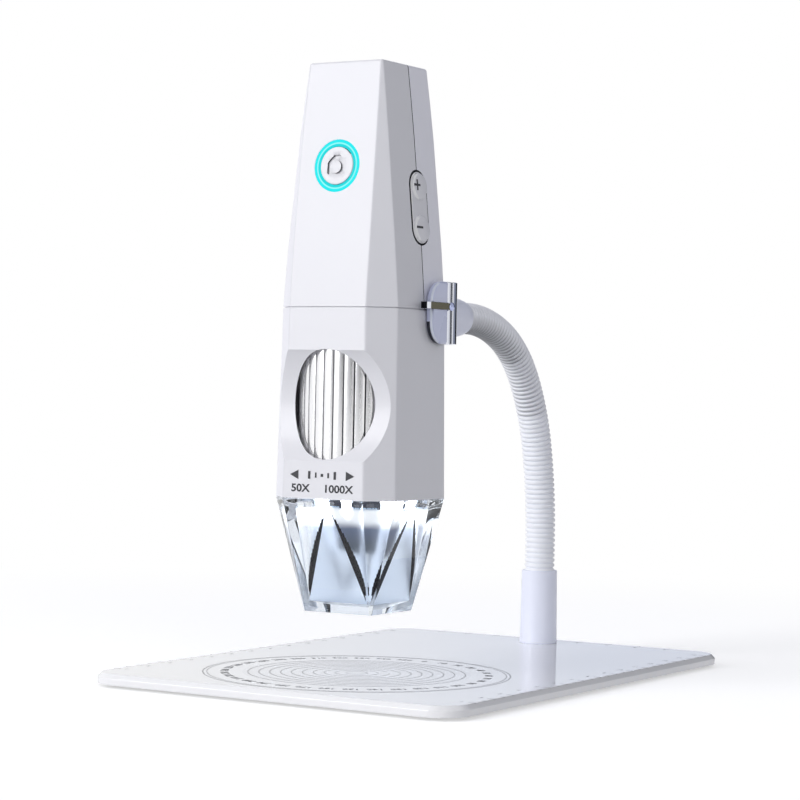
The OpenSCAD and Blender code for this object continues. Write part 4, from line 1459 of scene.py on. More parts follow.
    def collar(self) -> None:
        """Spin the smooth collar and lay it along the hose's end."""
        mouth = self.at(self.foot_run() + sum(self.runs)).y
        length = mouth - self.collar_back - self.collar_front
        lip = self.hose_r + 0.5
        collar = Bench.lathe(
            "neck_collar_skin",
            [
                (0, 0),
                (self.collar_r - 0.3, 0),
                (self.collar_r, 0.3),
                (self.collar_r, length - self.collar_taper),
                (self.collar_r - 0.12, length - self.collar_taper * 0.75),
                (self.collar_r - 0.36, length - self.collar_taper * 0.35),
                (lip, length - 0.15),
                (lip - 0.15, length),
                (self.hose_r + 0.1, length),
                (self.hose_r + 0.1, length - 6),
                (0, length - 6),
            ],
        )
        turn = Matrix.Rotation(-math.pi / 2, 4, "X")
        Bench.move(collar, Matrix.Translation((0, self.collar_front, self.level)) @ turn)
        Bench.soften(collar, 0.0)
        Bench.hand_over(collar, LAVENDER, Body.HOLDER, ["neck_collar"])


@dataclass
class Holder:
    """The bracket bent round the housing, with its pads, bands and rivets."""

    level: float = 103.4
    height: float = 17.2
    inside: float = 18.977
    wall: float = 1.6
    bend_r: float = 6.8
    pad_front: float = 1.4
    pad_back: float = 10.0
    pad_r: float = 6.0
    proud: float = 0.5
    band_h: float = 1.8
    band_up: float = 1.8
    band_reach: float = 3.2
    band_t: float = 0.7
    roll_r: float = 0.9
    rivet_y: float = 11.5
    band_back: float = 12.9
    crease: Spot = (12.1, 13.05)
    crease_depth: float = 0.5

    @property
    def outside(self) -> float:
        """Distance of the bracket's outer face from the optical axis."""
        return self.inside + self.wall

    def build(self) -> None:
        """Build the bracket, the pads, the bands and the rivets."""
        self.bracket()
        for side, name in ((1, "jaw_pad_right"), (-1, "jaw_pad_left")):
            self.pad(side, name)
        self.bands()
        self.rivets()
        dress_nodes(SCREW_STEEL, "holder_screw")

    def bracket(self) -> None:
        """Bend the bracket from a square with round corners, and open its front."""
        out, low = self.outside, self.level - self.height / 2
        wide, hole = 2 * out, 2 * self.inside
        strap = Bench.prism("holder_bracket_skin", wide, wide, self.bend_r, self.height, steps=14)
        hollow = Bench.prism("hollow", hole, hole, self.bend_r - self.wall, 3 * self.height, steps=14)
        Bench.shift(hollow, 0, 0, -self.height)
        Bench.cut(strap, hollow)
        front = Bench.block("front", (-wide, -wide, -1), (wide, self.pad_back, self.height + 1))
        Bench.cut(strap, front)
        near, far = self.crease
        for side in (-1, 1):
            edges = sorted((side * (out - self.crease_depth), side * (out + 1)))
            crease = Bench.block("crease", (edges[0], near, -1), (edges[1], far, self.height + 1))
            Bench.cut(strap, crease)
        Bench.shift(strap, 0, AXIS_Y, low)
        Bench.soften(strap, 0.2, 3, 50)
        Bench.hand_over(strap, CHROME_AND_BAND_HIGHLIGHT, Body.HOLDER, ["holder_bracket"])
        deep = out - 0.5 * self.crease_depth
        near, far = near + AXIS_Y, far + AXIS_Y
        # Painted shade: the creases' floors are painted black.
        Bench.tint(strap, BLACK_AND_PAINTED_SHADE, lambda at, way: abs(at.x) < deep and near < at.y < far and abs(way.x) > 0.5)

    def pad(self, side: int, node: str) -> None:
        """Build one jaw pad with its round front and the groove for its band.

        Args:
            side: 1 for right, -1 for left.
            node: The CAD node that it stands for.
        """
        deep = self.pad_back - self.pad_front
        thick = self.wall + self.proud
        pad = Bench.prism(f"{node}_skin", 2 * deep, self.height, self.pad_r, thick, steps=14)
        rear = Bench.block("rear", (0, -self.height, -1), (3 * deep, self.height, thick + 1))
        Bench.cut(pad, rear)
        Bench.soften(pad, 0.75, 5, 40)
        low, high = (self.band_up + side * (self.band_h / 2 + 0.12) for side in (-1, 1))
        slot = Bench.block("slot", (-3 * deep, low, self.wall), (3 * deep, high, thick + 1))
        Bench.cut(pad, slot)
        axes = Matrix(((0, 0, side, 0), (1, 0, 0, 0), (0, 1, 0, 0), (0, 0, 0, 1)))
        place = Matrix.Translation((side * self.inside, AXIS_Y + self.pad_back, self.level))
        Bench.move(pad, place @ axes)
        Bench.outward(pad)
        Bench.soften(pad, 0.0)
        Bench.hand_over(pad, PAD_BLUE, Body.HOLDER, [node])
        outer, low = self.inside + 0.5 * thick, self.level - 1
        # Painted highlight on the outer front bevel, and painted shadow along the lower inner edge.
        Bench.tint(pad, PAD_EDGE_HIGHLIGHT, lambda at, way: abs(at.x) > outer and abs(way.x) < 0.85 and way.y < -0.25)
        Bench.tint(
            pad, PAD_SHADE, lambda at, way: abs(at.x) < outer and at.z < low and min(way.y, way.z) < -0.2
        )

    def bands(self) -> None:
        """Build one grip band with its rolled end and mirror it."""
        roll_y = self.pad_front - self.band_reach
        low = self.level + self.band_up - self.band_h / 2
        bands = []
        for side in (1, -1):
            edges = sorted((side * self.outside, side * (self.outside + self.band_t)))
            band = Bench.block(
                "grip_bands_skin",
                (edges[0], AXIS_Y + roll_y, low),
                (edges[1], AXIS_Y + self.band_back, low + self.band_h),
            )
            x = side * (self.outside + self.band_t - self.roll_r)
            y = AXIS_Y + roll_y
            roll = Bench.rod("roll", self.roll_r, (x, y, low), (x, y, low + self.band_h), 48)
            Bench.cut(band, roll, Cut.JOIN)
            bands.append(band)
        both = Bench.join(bands, "grip_bands_skin")
        end = AXIS_Y + roll_y + self.roll_r
        # Painted highlight: a strip of the band behind its rolled end is tinted chrome.
        bright = end + 1.2
        Bench.edit(both)
        Bench.bisect((0, bright, 0), (0, 1, 0))
        Bench.soften(both, 0.24, 2, 40)
        Bench.hand_over(both, BAND_BRONZE, Body.HOLDER, ["grip_bands"])
        Bench.tint(both, CHROME_AND_BAND_HIGHLIGHT, lambda middle, normal: middle.y < bright)
        Bench.tint(both, BAND_END, lambda middle, normal: middle.y < end or abs(normal.z) > 0.3)

    def rivets(self) -> None:
        """Spin one domed rivet and set it on both sides."""
        shank = [(0, 0), (0.7, 0), (0.7, 2.3)]
        head = [(1.2, 2.3), (1.15, 2.5), (0.85, 2.72), (0.4, 2.8), (0, 2.8)]
        rivet = Bench.lathe("band_rivets_skin", [*shank, *head], 32)
        y, z = AXIS_Y + self.rivet_y, self.level + self.band_up
        right = Matrix.Translation((self.inside, y, z)) @ Matrix.Rotation(math.pi / 2, 4, "Y")
        left = Matrix.Translation((-self.inside, y, z)) @ Matrix.Rotation(-math.pi / 2, 4, "Y")
        other = Bench.twin(rivet, left)
        Bench.move(rivet, right)
        both = Bench.join([rivet, other], "band_rivets_skin")
        Bench.soften(both, 0.0)
        Bench.hand_over(both, RIVET_BLUE, Body.HOLDER, ["band_rivets"])


@dataclass
class Housing:
    """The faceted housing: the lower sleeve with its thumb scoop, and the two grip shells."""

    nose_z: float = 52.3
    seam_z: float = 104.2
    top_z: float = 171.0
    nose_half: float = 19.3
    seam_half: float = 18.6
    top_half: float = 11.8
    swell: float = 0.5
    shares: tuple[float, ...] = (0.0, 0.12, 0.24, 0.7, 0.85, 1.0)
    panel: Spot = (0.24, 0.7)
    top_round: float = 1.1
    leg: float = 6.4
    top_leg: float = 0.5
    wall: float = 1.6
    groove: float = 0.35
    split: float = 1.5
    scoop_z: float = 77.8
    scoop_h: float = 29.8
    scoop_depth: float = 5.15
    scoop_r: float = 24.13
    window_w: float = 25.8
    rim_y: float = 13.2
    pocket_r: float = 18.2
    pocket: Spot = (62.3, 93.3)
    bore_r: float = 15.2
    button_z: float = 142.3
    ring_r: float = 7.15
    key_z: float = 131.8
    key_len: float = 20.0
    key_w: float = 8.4
    key_gap: float = 0.4
    boss: Spot = (11.2, 113.2)
    hole_r: float = 2.12
    hole_run: Spot = (11.0, 30.0)
    usb: Point = (8.9, 3.2, -1.6)
    beyond: float = 60.0
    print_z: float = 58.68
    print_t: float = 0.04
    ticks: tuple[Point, ...] = (
        (-4.3, 2.1, 0.75),
        (-2.2, 1.4, 0.5),
        (-0.2, 0.8, 0.8),
        (1.8, 1.4, 0.55),
        (3.9, 2.1, 0.75),
    )

    @property
    def lean(self) -> float:
        """Lean in radians of the flat stretch that carries the controls."""
        low, high = self.panel
        slope = (self.swell_at(low) - self.swell_at(high)) / (high - low)
        return math.atan(slope / (self.top_z - self.seam_z))

    def swell_at(self, share: float) -> float:
        """Half the grip's width across flats.

        Args:
            share: How far up the grip, from zero to one.

        Returns:
            The half width of the swelling face.
        """
        straight = self.seam_half + (self.top_half - self.seam_half) * share
        return straight + 4 * self.swell * share * (1 - share)

    def knots(self, low: float, high: float, inset: float) -> list[Spot]:
        """Levels where the grip's flat stretches meet, with their half widths.

        Args:
            low: Only levels above this one.
            high: Only levels below this one.
            inset: How far the faces are moved in.

        Returns:
            Rising levels and half widths.
        """
        levels = [self.seam_z + (self.top_z - self.seam_z) * share for share in self.shares]
        return [(z, self.half_at(z) - inset) for z in levels if low < z < high]

    def half_at(self, z: float) -> float:
        """Half the width across flats at a level.

        Args:
            z: The level.

        Returns:
            The half width.
        """
        if z <= self.seam_z:
            share = (z - self.nose_z) / (self.seam_z - self.nose_z)
            return self.nose_half + (self.seam_half - self.nose_half) * share
        share = min((z - self.seam_z) / (self.top_z - self.seam_z), 1.0)
        a, b = next(pair for pair in zip(self.shares, self.shares[1:]) if share <= pair[1])
        return self.swell_at(a) + (self.swell_at(b) - self.swell_at(a)) * (share - a) / (b - a)

    def leg_at(self, z: float) -> float:
        """Leg of the corner cuts on the grip at a level."""
        share = max((z - self.seam_z) / (self.top_z - self.seam_z), 0.0)
        return self.leg + (self.top_leg - self.leg) * share

    def on_front(self, z: float) -> Matrix:
        """Frame on the grip's front face whose -Y points straight out."""
        return Matrix.Translation((0, AXIS_Y - self.half_at(z), z)) @ Matrix.Rotation(-self.lean, 4, "X")

    def on_right(self, z: float) -> Matrix:
        """Frame on the grip's right face, on the parting line, whose +X points straight out."""
        place = Matrix.Translation((self.half_at(z), AXIS_Y + self.split, z))
        return place @ Matrix.Rotation(-self.lean, 4, "Y")

    def build(self) -> None:
        """Build the sleeve, the two grip shells and the printed focus scale."""
        self.sleeve()
        self.grip_shells()
        self.focus_scale()

    def loft(self, name: str, low: float, high: float, inset: float = 0.0, round_off: float = 0.0) -> Piece:
        """Add a stretch of the housing's outer form, moved in by an inset.

        Args:
            name: Its name.
            low: Lowest level.
            high: Highest level.
            inset: How far it is moved in.
            round_off: Setback of the rounding along its upright edges.

        Returns:
            The block.
        """
        shrink = inset * (2 - math.sqrt(2))
        halves = (self.half_at(low) - inset, self.half_at(high) - inset)
        legs = (max(self.leg_at(low) - shrink, 0.05), max(self.leg_at(high) - shrink, 0.05))
        return Bench.frustum(name, (low, high), halves, legs, round_off, self.knots(low, high, inset))

    def sleeve(self) -> None:
        """Cut the wheel's pocket, the thumb scoop and the window into the sleeve."""
        sleeve = self.loft("sleeve_skin", self.nose_z, self.seam_z - self.groove, 0.0, 0.42)
        neck = self.loft("neck", self.seam_z - 3, self.seam_z, 0.6)
        Bench.cut(sleeve, neck, Cut.JOIN)
        low, high = self.pocket
        middle = (0, AXIS_Y)
        pocket = Bench.rod("pocket", self.pocket_r, (*middle, self.nose_z - 1), (*middle, high), 160)
        Bench.cut(sleeve, pocket)
        Bench.cut(sleeve, Bench.rod("bore", self.bore_r, (*middle, low), (*middle, self.seam_z + 1), 128))
        y = AXIS_Y + self.scoop_depth - self.half_at(self.scoop_z) - self.scoop_r
        reach = 2 * self.nose_half
        scoop = Bench.rod("scoop", self.scoop_r, (-reach, y, self.scoop_z), (reach, y, self.scoop_z), 256)
        Bench.cut(sleeve, scoop)
        for wider, far in ((0.0, reach), (2.4, self.rim_y)):
            window = Bench.rod("window", 0.5, (0, AXIS_Y, self.scoop_z), (0, AXIS_Y - far, self.scoop_z), 128)
            Bench.edit_all(window)
            oval = (self.window_w + wider, 1, self.scoop_h)
            bpy.ops.transform.resize(value=oval, center_override=(0, AXIS_Y, self.scoop_z))
            Bench.only(window)
            Bench.cut(sleeve, window)
        Bench.soften(sleeve, 0.28, 3, 24, 60.0)
        Bench.hand_over(sleeve, SHELL_WHITE, Body.MICROSCOPE, ["sleeve"])
        # Painted light: the front-left chamfers get the lighter tone.
        Bench.tint(sleeve, SHELL_REAR_AND_PAINTED_LIGHT, lambda middle, normal: max(normal.x, normal.y) < -0.5)
        # Painted shade: the pocket and the window's rim are painted black.
        Bench.tint(sleeve, BLACK_AND_PAINTED_SHADE, self.in_pocket)

    def in_pocket(self, middle: Vector, normal: Vector) -> bool:
        """Tell whether a face of the sleeve lies in the wheel's pocket or in the window's rim.

        Args:
            middle: The face's middle.
            normal: The face's normal.

        Returns:
            True for the black faces.
        """
        across = math.hypot(middle.x, middle.y - AXIS_Y)
        window = math.hypot(2 * middle.x / self.window_w, 2 * (middle.z - self.scoop_z) / self.scoop_h)
        rim = window < 1.005 and middle.y < AXIS_Y - self.rim_y + 0.1
        return rim or (across < self.pocket_r + 0.02 and middle.y > AXIS_Y)

    def grip_shells(self) -> None:
        """Hollow the grip, part it on the split plane and open it for the controls."""
        grip = self.loft("grip", self.seam_z, self.top_z, 0.0, 0.3)
        top = self.top_z
        Bench.pick_edges(grip, lambda a, b: min(a.z, b.z) > top - 0.01)
        Bench.bevel(self.top_round, 6)
        Bench.outward(grip)
        Bench.cut(grip, self.loft("inside", self.seam_z - 1, self.top_z - self.wall, self.wall))
        self.key_opening(grip)
        rear = Bench.twin(grip, Matrix.Identity(4))
        grip.name, rear.name = "grip_front_skin", "grip_rear_skin"
        far, y = self.beyond, AXIS_Y + self.split
        Bench.cut(grip, Bench.block("behind", (-far, y, 0), (far, y + far, 4 * far)))
        Bench.cut(rear, Bench.block("ahead", (-far, y - far, 0), (far, y, 4 * far)))
        self.front_details(grip, y)
        x, z = self.boss
        for side in (-1, 1):
            start, end = ((side * x, AXIS_Y + y, z) for y in self.hole_run)
            hole = Bench.rod("hole", self.hole_r, start, end, 48)
            Bench.cut(rear, hole)
        for shell, node, finish in ((grip, "grip_front", SHELL_WHITE), (rear, "grip_rear", SHELL_REAR_AND_PAINTED_LIGHT)):
            Bench.soften(shell, 0.14, 2, 32, 3.0)
            Bench.hand_over(shell, finish, Body.MICROSCOPE, [node])
            # Painted light: the front-left chamfers get the lighter tone.
            Bench.tint(shell, SHELL_REAR_AND_PAINTED_LIGHT, lambda middle, normal: max(normal.x, normal.y) < -0.5)
            Bench.tint(shell, SEAM_SHADE, self.in_gap)
        dress_nodes(SCREW_STEEL, "shell_screws")

    def in_gap(self, middle: Vector, normal: Vector) -> bool:
        """Tell whether a face of the grip lies in the parting groove or round the key.

        Args:
            middle: The face's middle.
            normal: The face's normal.

        Returns:
            True for the faces in shade.
        """
        y = middle.y - AXIS_Y - self.split
        outer = max(abs(middle.x), abs(middle.y - AXIS_Y))
        sunk = outer < self.half_at(middle.z) - 0.12
        if abs(y) < self.key_w / 2 + 1 and abs(middle.z - self.key_z) < self.key_len / 2 + 1 and middle.x > 0:
            return abs(normal.x) < 0.4
        return -self.groove < y < 0.02 and (sunk or normal.y < -0.9)

    def key_opening(self, grip: Piece) -> None:
        """Open the right side for the zoom key.

        Args:
            grip: The hollow grip.
        """
        gap = self.key_gap
        wide, tall = self.key_w + 2 * gap, self.key_len + 2 * gap
        slot = Bench.prism("slot", wide, tall, self.key_w / 2 + gap, 6, steps=24)
        turn = Matrix(((0, 0, 1, -4), (1, 0, 0, 0), (0, 1, 0, 0), (0, 0, 0, 1)))
        Bench.move(slot, self.on_right(self.key_z) @ turn)
        Bench.outward(slot)
        Bench.cut(grip, slot)

    def front_details(self, front: Piece, y: float) -> None:
        """Cut the button's hole, the charging slot and the parting groove.

        Args:
            front: The front shell.
            y: The parting plane.
        """
        hole = Bench.rod("hole", self.ring_r + 0.06, (0, -2, 0), (0, 4, 0), 128)
        Bench.cut(front, Bench.move(hole, self.on_front(self.button_z)))
        wide, deep, middle = self.usb
        slot = Bench.prism("slot", wide + 0.24, deep + 0.24, 1.5, 8)
        Bench.cut(front, Bench.shift(slot, 0, AXIS_Y + middle, self.top_z - 4))
        far = self.beyond
        groove = Bench.block("groove", (-far, y - self.groove, self.seam_z - 1), (far, y + 1, self.top_z + 1))
        Bench.cut(groove, self.loft("kept", self.seam_z - 2, self.top_z - 0.5, 0.5))
        Bench.cut(front, groove)

    def focus_scale(self) -> None:
        """Print the arrows, ticks and end values of the focus scale under the scoop."""
        marks = []
        for side in (-1, 1):
            Bench.clear()
            bpy.ops.mesh.primitive_circle_add(vertices=3, radius=1.7, fill_type="NGON")
            arrow = Bench.settle(bpy.context.object, "arrow")
            slim = Matrix.Diagonal((0.86, 1.06, 1, 1))
            turn = Matrix.Rotation(-side * math.pi / 2, 4, "Z") @ slim
            marks.append(Bench.move(arrow, Matrix.Translation((side * 8.5 - 0.2, self.print_z, 0)) @ turn))
        for x, tall, wide in self.ticks:
            marks.append(Bench.tile("tick", x, self.print_z, wide, tall))
        for words, x in (("50X", -6.9), ("1000X", 5.2)):
            number = Bench.letters("value", words, 3.3, bold=0.07)
            broad = Matrix.Diagonal((1.05, 0.88, 1, 1))
            marks.append(Bench.move(number, Matrix.Translation((x - 0.2, 55.0, 0)) @ broad))
        scale = Bench.join(marks, "focus_scale_print")
        Bench.thicken(scale, self.print_t)
        lean = math.atan((self.nose_half - self.seam_half) / (self.seam_z - self.nose_z))
        upright = Matrix.Rotation(math.pi / 2 - lean, 4, "X")
        foot = Matrix.Translation((0, AXIS_Y - self.half_at(0.0) - 0.02, 0))
        Bench.move(scale, foot @ upright)
        Bench.hand_over(scale, INK, Body.MICROSCOPE)


@dataclass
class FocusWheel:
    """The ribbed focus wheel that shows in the thumb scoop."""

    middle: float = 77.8
    height: float = 30.4
    outer_r: float = 17.4
    drum_r: float = 16.3
    drum_wall: float = 1.8
    ribs: int = 36
    rib_w: float = 2.55
    rib_deep: float = 1.9
    rib_crown: float = 3.6
    web: Spot = (76.6, 78.6)
    hub_in: float = 9.14

    def build(self) -> None:
        """Build the drum with its web and set the ribs round it."""
        half = self.height / 2
        inner = self.drum_r - self.drum_wall
        low, high = (z - self.middle for z in self.web)
        drum = Bench.lathe(
            "focus_wheel_skin",
            [
                (inner, -half),
                (self.drum_r - 0.3, -half),
                (self.drum_r, 0.3 - half),
                (self.drum_r, half - 0.3),
                (self.drum_r - 0.3, half),
                (inner, half),
                (inner, high),
                (self.hub_in, high),
                (self.hub_in, low - 12.8),
                (self.hub_in + 3, low - 12.8),
                (self.hub_in + 3, low),
                (inner, low),
            ],
            steps=180,
            closed=True,
        )
        rib = Bench.prism("rib", self.rib_deep, self.rib_w, 0.25, self.height, steps=5)
        Bench.shift(rib, -self.rib_deep / 2, 0, -half)
        back = -self.rib_crown
        crown = Bench.rod("crown", self.rib_crown, (back, 0, -half - 1), (back, 0, half + 1), 160)
        Bench.cut(rib, crown, Cut.KEEP)
        Bench.pick_edges(rib, lambda a, b: abs(a.z - b.z) < 0.001)
        bpy.ops.mesh.bevel(offset=0.35, segments=2, affect="EDGES")
        Bench.only(rib)
        reach = Matrix.Translation((self.outer_r, 0, 0))
        copies = []
        for step in range(self.ribs):
            turn = Matrix.Rotation(math.tau * step / self.ribs, 4, "Z")
            copies.append(Bench.twin(rib, turn @ reach))
        bpy.data.objects.remove(rib, do_unlink=True)
        wheel = Bench.join([drum, *copies], "focus_wheel_skin")
        Bench.shift(wheel, 0, AXIS_Y, self.middle)
        Bench.soften(wheel, 0.0, angle=35)
        Bench.hand_over(wheel, WHEEL_PLATED, Body.FOCUS_WHEEL, ["focus_wheel"])
        # Painted shade: the drum between the ribs is dark.
        limit = self.drum_r + 0.05
        Bench.tint(wheel, WHEEL_GROOVE_SHADE, lambda at, way: math.hypot(at.x, at.y - AXIS_Y) < limit)


@dataclass
class Hood:
    """The clear hood with its thick walls and floor."""

    tip_z: float = 21.0
    nose_z: float = 52.3
    tip_half: float = 10.9
    nose_half: float = 19.3
    tip_leg: float = 0.5
    nose_leg: float = 6.4
    wall: float = 2.4
    floor: float = 3.2
    shelf: float = 1.5
    rim_r: float = 17.93
    rim_in: float = 15.335
    rim_h: float = 2.2
    streak: float = 2.3
    bands: int = 22

    @property
    def inside(self) -> Spot:
        """Lowest and highest level of the cavity."""
        return (self.tip_z + self.floor, self.nose_z - self.shelf)

    def share(self, z: float) -> float:
        """How far up the hood a level is, from zero to one."""
        return (z - self.tip_z) / (self.nose_z - self.tip_z)

    def form(self, name: str, low: float, high: float, inset: float) -> Piece:
        """Add a stretch of the hood's form, moved in by an inset.

        Args:
            name: Its name.
            low: Lowest level.
            high: Highest level.
            inset: How far it is moved in.

        Returns:
            The block.
        """
        shrink = inset * (2 - math.sqrt(2))
        shares = [self.share(z) for z in (low, high)]
        halves = [self.tip_half + (self.nose_half - self.tip_half) * share - inset for share in shares]
        legs = [self.tip_leg + (self.nose_leg - self.tip_leg) * share - shrink for share in shares]
        return Bench.frustum(name, (low, high), tuple(halves), tuple(max(leg, 0.05) for leg in legs))

    def cavity(self) -> Piece:
        """Add the cavity, square at the floor and round at the shelf.

        Returns:
            A closed block to cut away.
        """
        low, high = self.inside
        square = self.form("cavity", low, low + 0.01, self.wall)
        Bench.clear()
        bpy.ops.mesh.primitive_circle_add(vertices=320, radius=self.rim_in, location=(0, AXIS_Y, high))
        cavity = Bench.join([square, Bench.settle(bpy.context.object, "round")], "cavity")
        Bench.edit_all(cavity)
        bpy.ops.mesh.convex_hull()
        for band in range(1, self.bands):
            level = low + (high - low) * band / self.bands
            Bench.bisect((0, AXIS_Y, level), (0, 0, 1))
        Bench.outward(cavity)
        return cavity

    def on_cavity(self, middle: Vector, normal: Vector) -> bool:
        """Tell whether a face belongs to the frosted inside of the hood.

        Args:
            middle: The face's middle.
            normal: The face's normal.

        Returns:
            True for the cavity's walls and floor.
        """
        low, high = self.inside
        inward = middle.x * normal.x + (middle.y - AXIS_Y) * normal.y
        return low - 0.02 < middle.z < high and (inward < -0.5 or (normal.z > 0.9 and middle.z < low + 0.02))

    def on_streak(self, middle: Vector, normal: Vector) -> bool:
        """Tell whether a face lies on a painted dark streak, where a flat wall turns into a corner cone.

        Args:
            middle: The face's middle.
            normal: The face's normal.

        Returns:
            True for the dark faces.
        """
        low, high = self.inside
        rise = (middle.z - low) / (high - low)
        if not 0.02 < rise < 0.92 or min(abs(normal.x), abs(normal.y)) < 0.01:
            return False
        corner = self.tip_half + (self.nose_half - self.tip_half) * self.share(low) - self.wall
        x, y = (corner + (abs(side) - corner) / rise for side in (middle.x, middle.y - AXIS_Y))
        if abs(math.hypot(x, y) - self.rim_in) > 0.2:
            return False
        angle = math.atan2(y, x)
        reach = min(angle, math.pi / 2 - angle) * self.rim_in * rise
        return reach < self.streak * math.sin(math.pi * rise**0.8)

    def build(self) -> None:
        """Build the hood as one clear piece with its cavity."""
        hood = self.form("hood_skin", self.tip_z, self.nose_z, 0.0)
        Bench.soften(hood, 0.16, 2, 20)
        middle = (0, AXIS_Y)
        low, high = self.nose_z - 0.7, self.nose_z + self.rim_h
        Bench.cut(hood, Bench.rod("rim", self.rim_r, (*middle, low), (*middle, high), 128), Cut.JOIN)
        Bench.cut(hood, self.cavity())
        low, high = self.nose_z - self.shelf - 0.5, self.nose_z + 6
        Bench.cut(hood, Bench.rod("throat", self.rim_in, (*middle, low), (*middle, high), 128))
        Bench.soften(hood, 0.0, angle=25)
        Bench.hand_over(hood, HOOD_CLEAR, Body.MICROSCOPE, ["hood"])
        # The frosted cavity carries the painted glow that stands in for the lamps' light.
        Bench.tint(hood, HOOD_FROST_AND_GLOW, self.on_cavity)
        # Faces on the streaks are painted near black, standing in for the dark streaks of bent light.
        Bench.tint(hood, HOOD_PAINTED_STREAK, self.on_streak)


@dataclass
class Optics:
    """The lens, lamps and sensor, which keep their CAD shapes."""

    lamp_r: float = 1.6
    lamp_ring_r: float = 12.135
    lamp_top: float = 53.3
    lamp_h: float = 3.9
    lamp_count: int = 8
    black: tuple[str, ...] = ("optics_chassis", "wheel_clip", "image_sensor", "snap_switch", "zoom_switches")

    def build(self) -> None:
        """Dress the optical parts and the electronics."""
        self.lamps()
        # The lamp board gets a painted glow standing in for the lamps' light.
        dress_nodes(LAMP_BOARD_PAINTED_GLOW, "lamp_board")
        dress_nodes(BLACK_AND_PAINTED_SHADE, *self.black)
        dress_nodes(BARREL_NAVY, "lens_barrel")
        dress_nodes(LENS_GLASS, "front_lens", "rear_lens")
        dress_nodes(BOARD_GREEN, "sensor_board", "main_board")
        dress_nodes(FLEX, "sensor_flex")
        dress_nodes(CELL, "battery")
        dress_nodes(SCREW_STEEL, "board_screws", "usb_socket")

    def lamps(self) -> None:
        """Spin one domed lamp with its rim and copy it round the lens."""
        r, h = self.lamp_r, self.lamp_h
        turns = [math.radians(angle) for angle in range(15, 91, 15)]
        dome = [(r * math.cos(a), -h - r * math.sin(a)) for a in turns]
        profile = [(0, 0), (r + 0.3, 0), (r + 0.3, -0.8), (r, -0.9), (r, -h), *dome[:-1], (0, -h - r)]
        lamp = Bench.lathe("lamps_skin", profile, steps=32)
        copies = []
        for step in range(self.lamp_count):
            turn = Matrix.Rotation(math.tau * (step + 0.5) / self.lamp_count, 4, "Z")
            place = Matrix.Translation((0, AXIS_Y, self.lamp_top)) @ turn
            copies.append(Bench.twin(lamp, place @ Matrix.Translation((self.lamp_ring_r, 0, 0))))
        bpy.data.objects.remove(lamp, do_unlink=True)
        lamps = Bench.join(copies, "lamps_skin")
        Bench.soften(lamps, 0.0)
        Bench.hand_over(lamps, LAMP, Body.MICROSCOPE, ["lamps"])


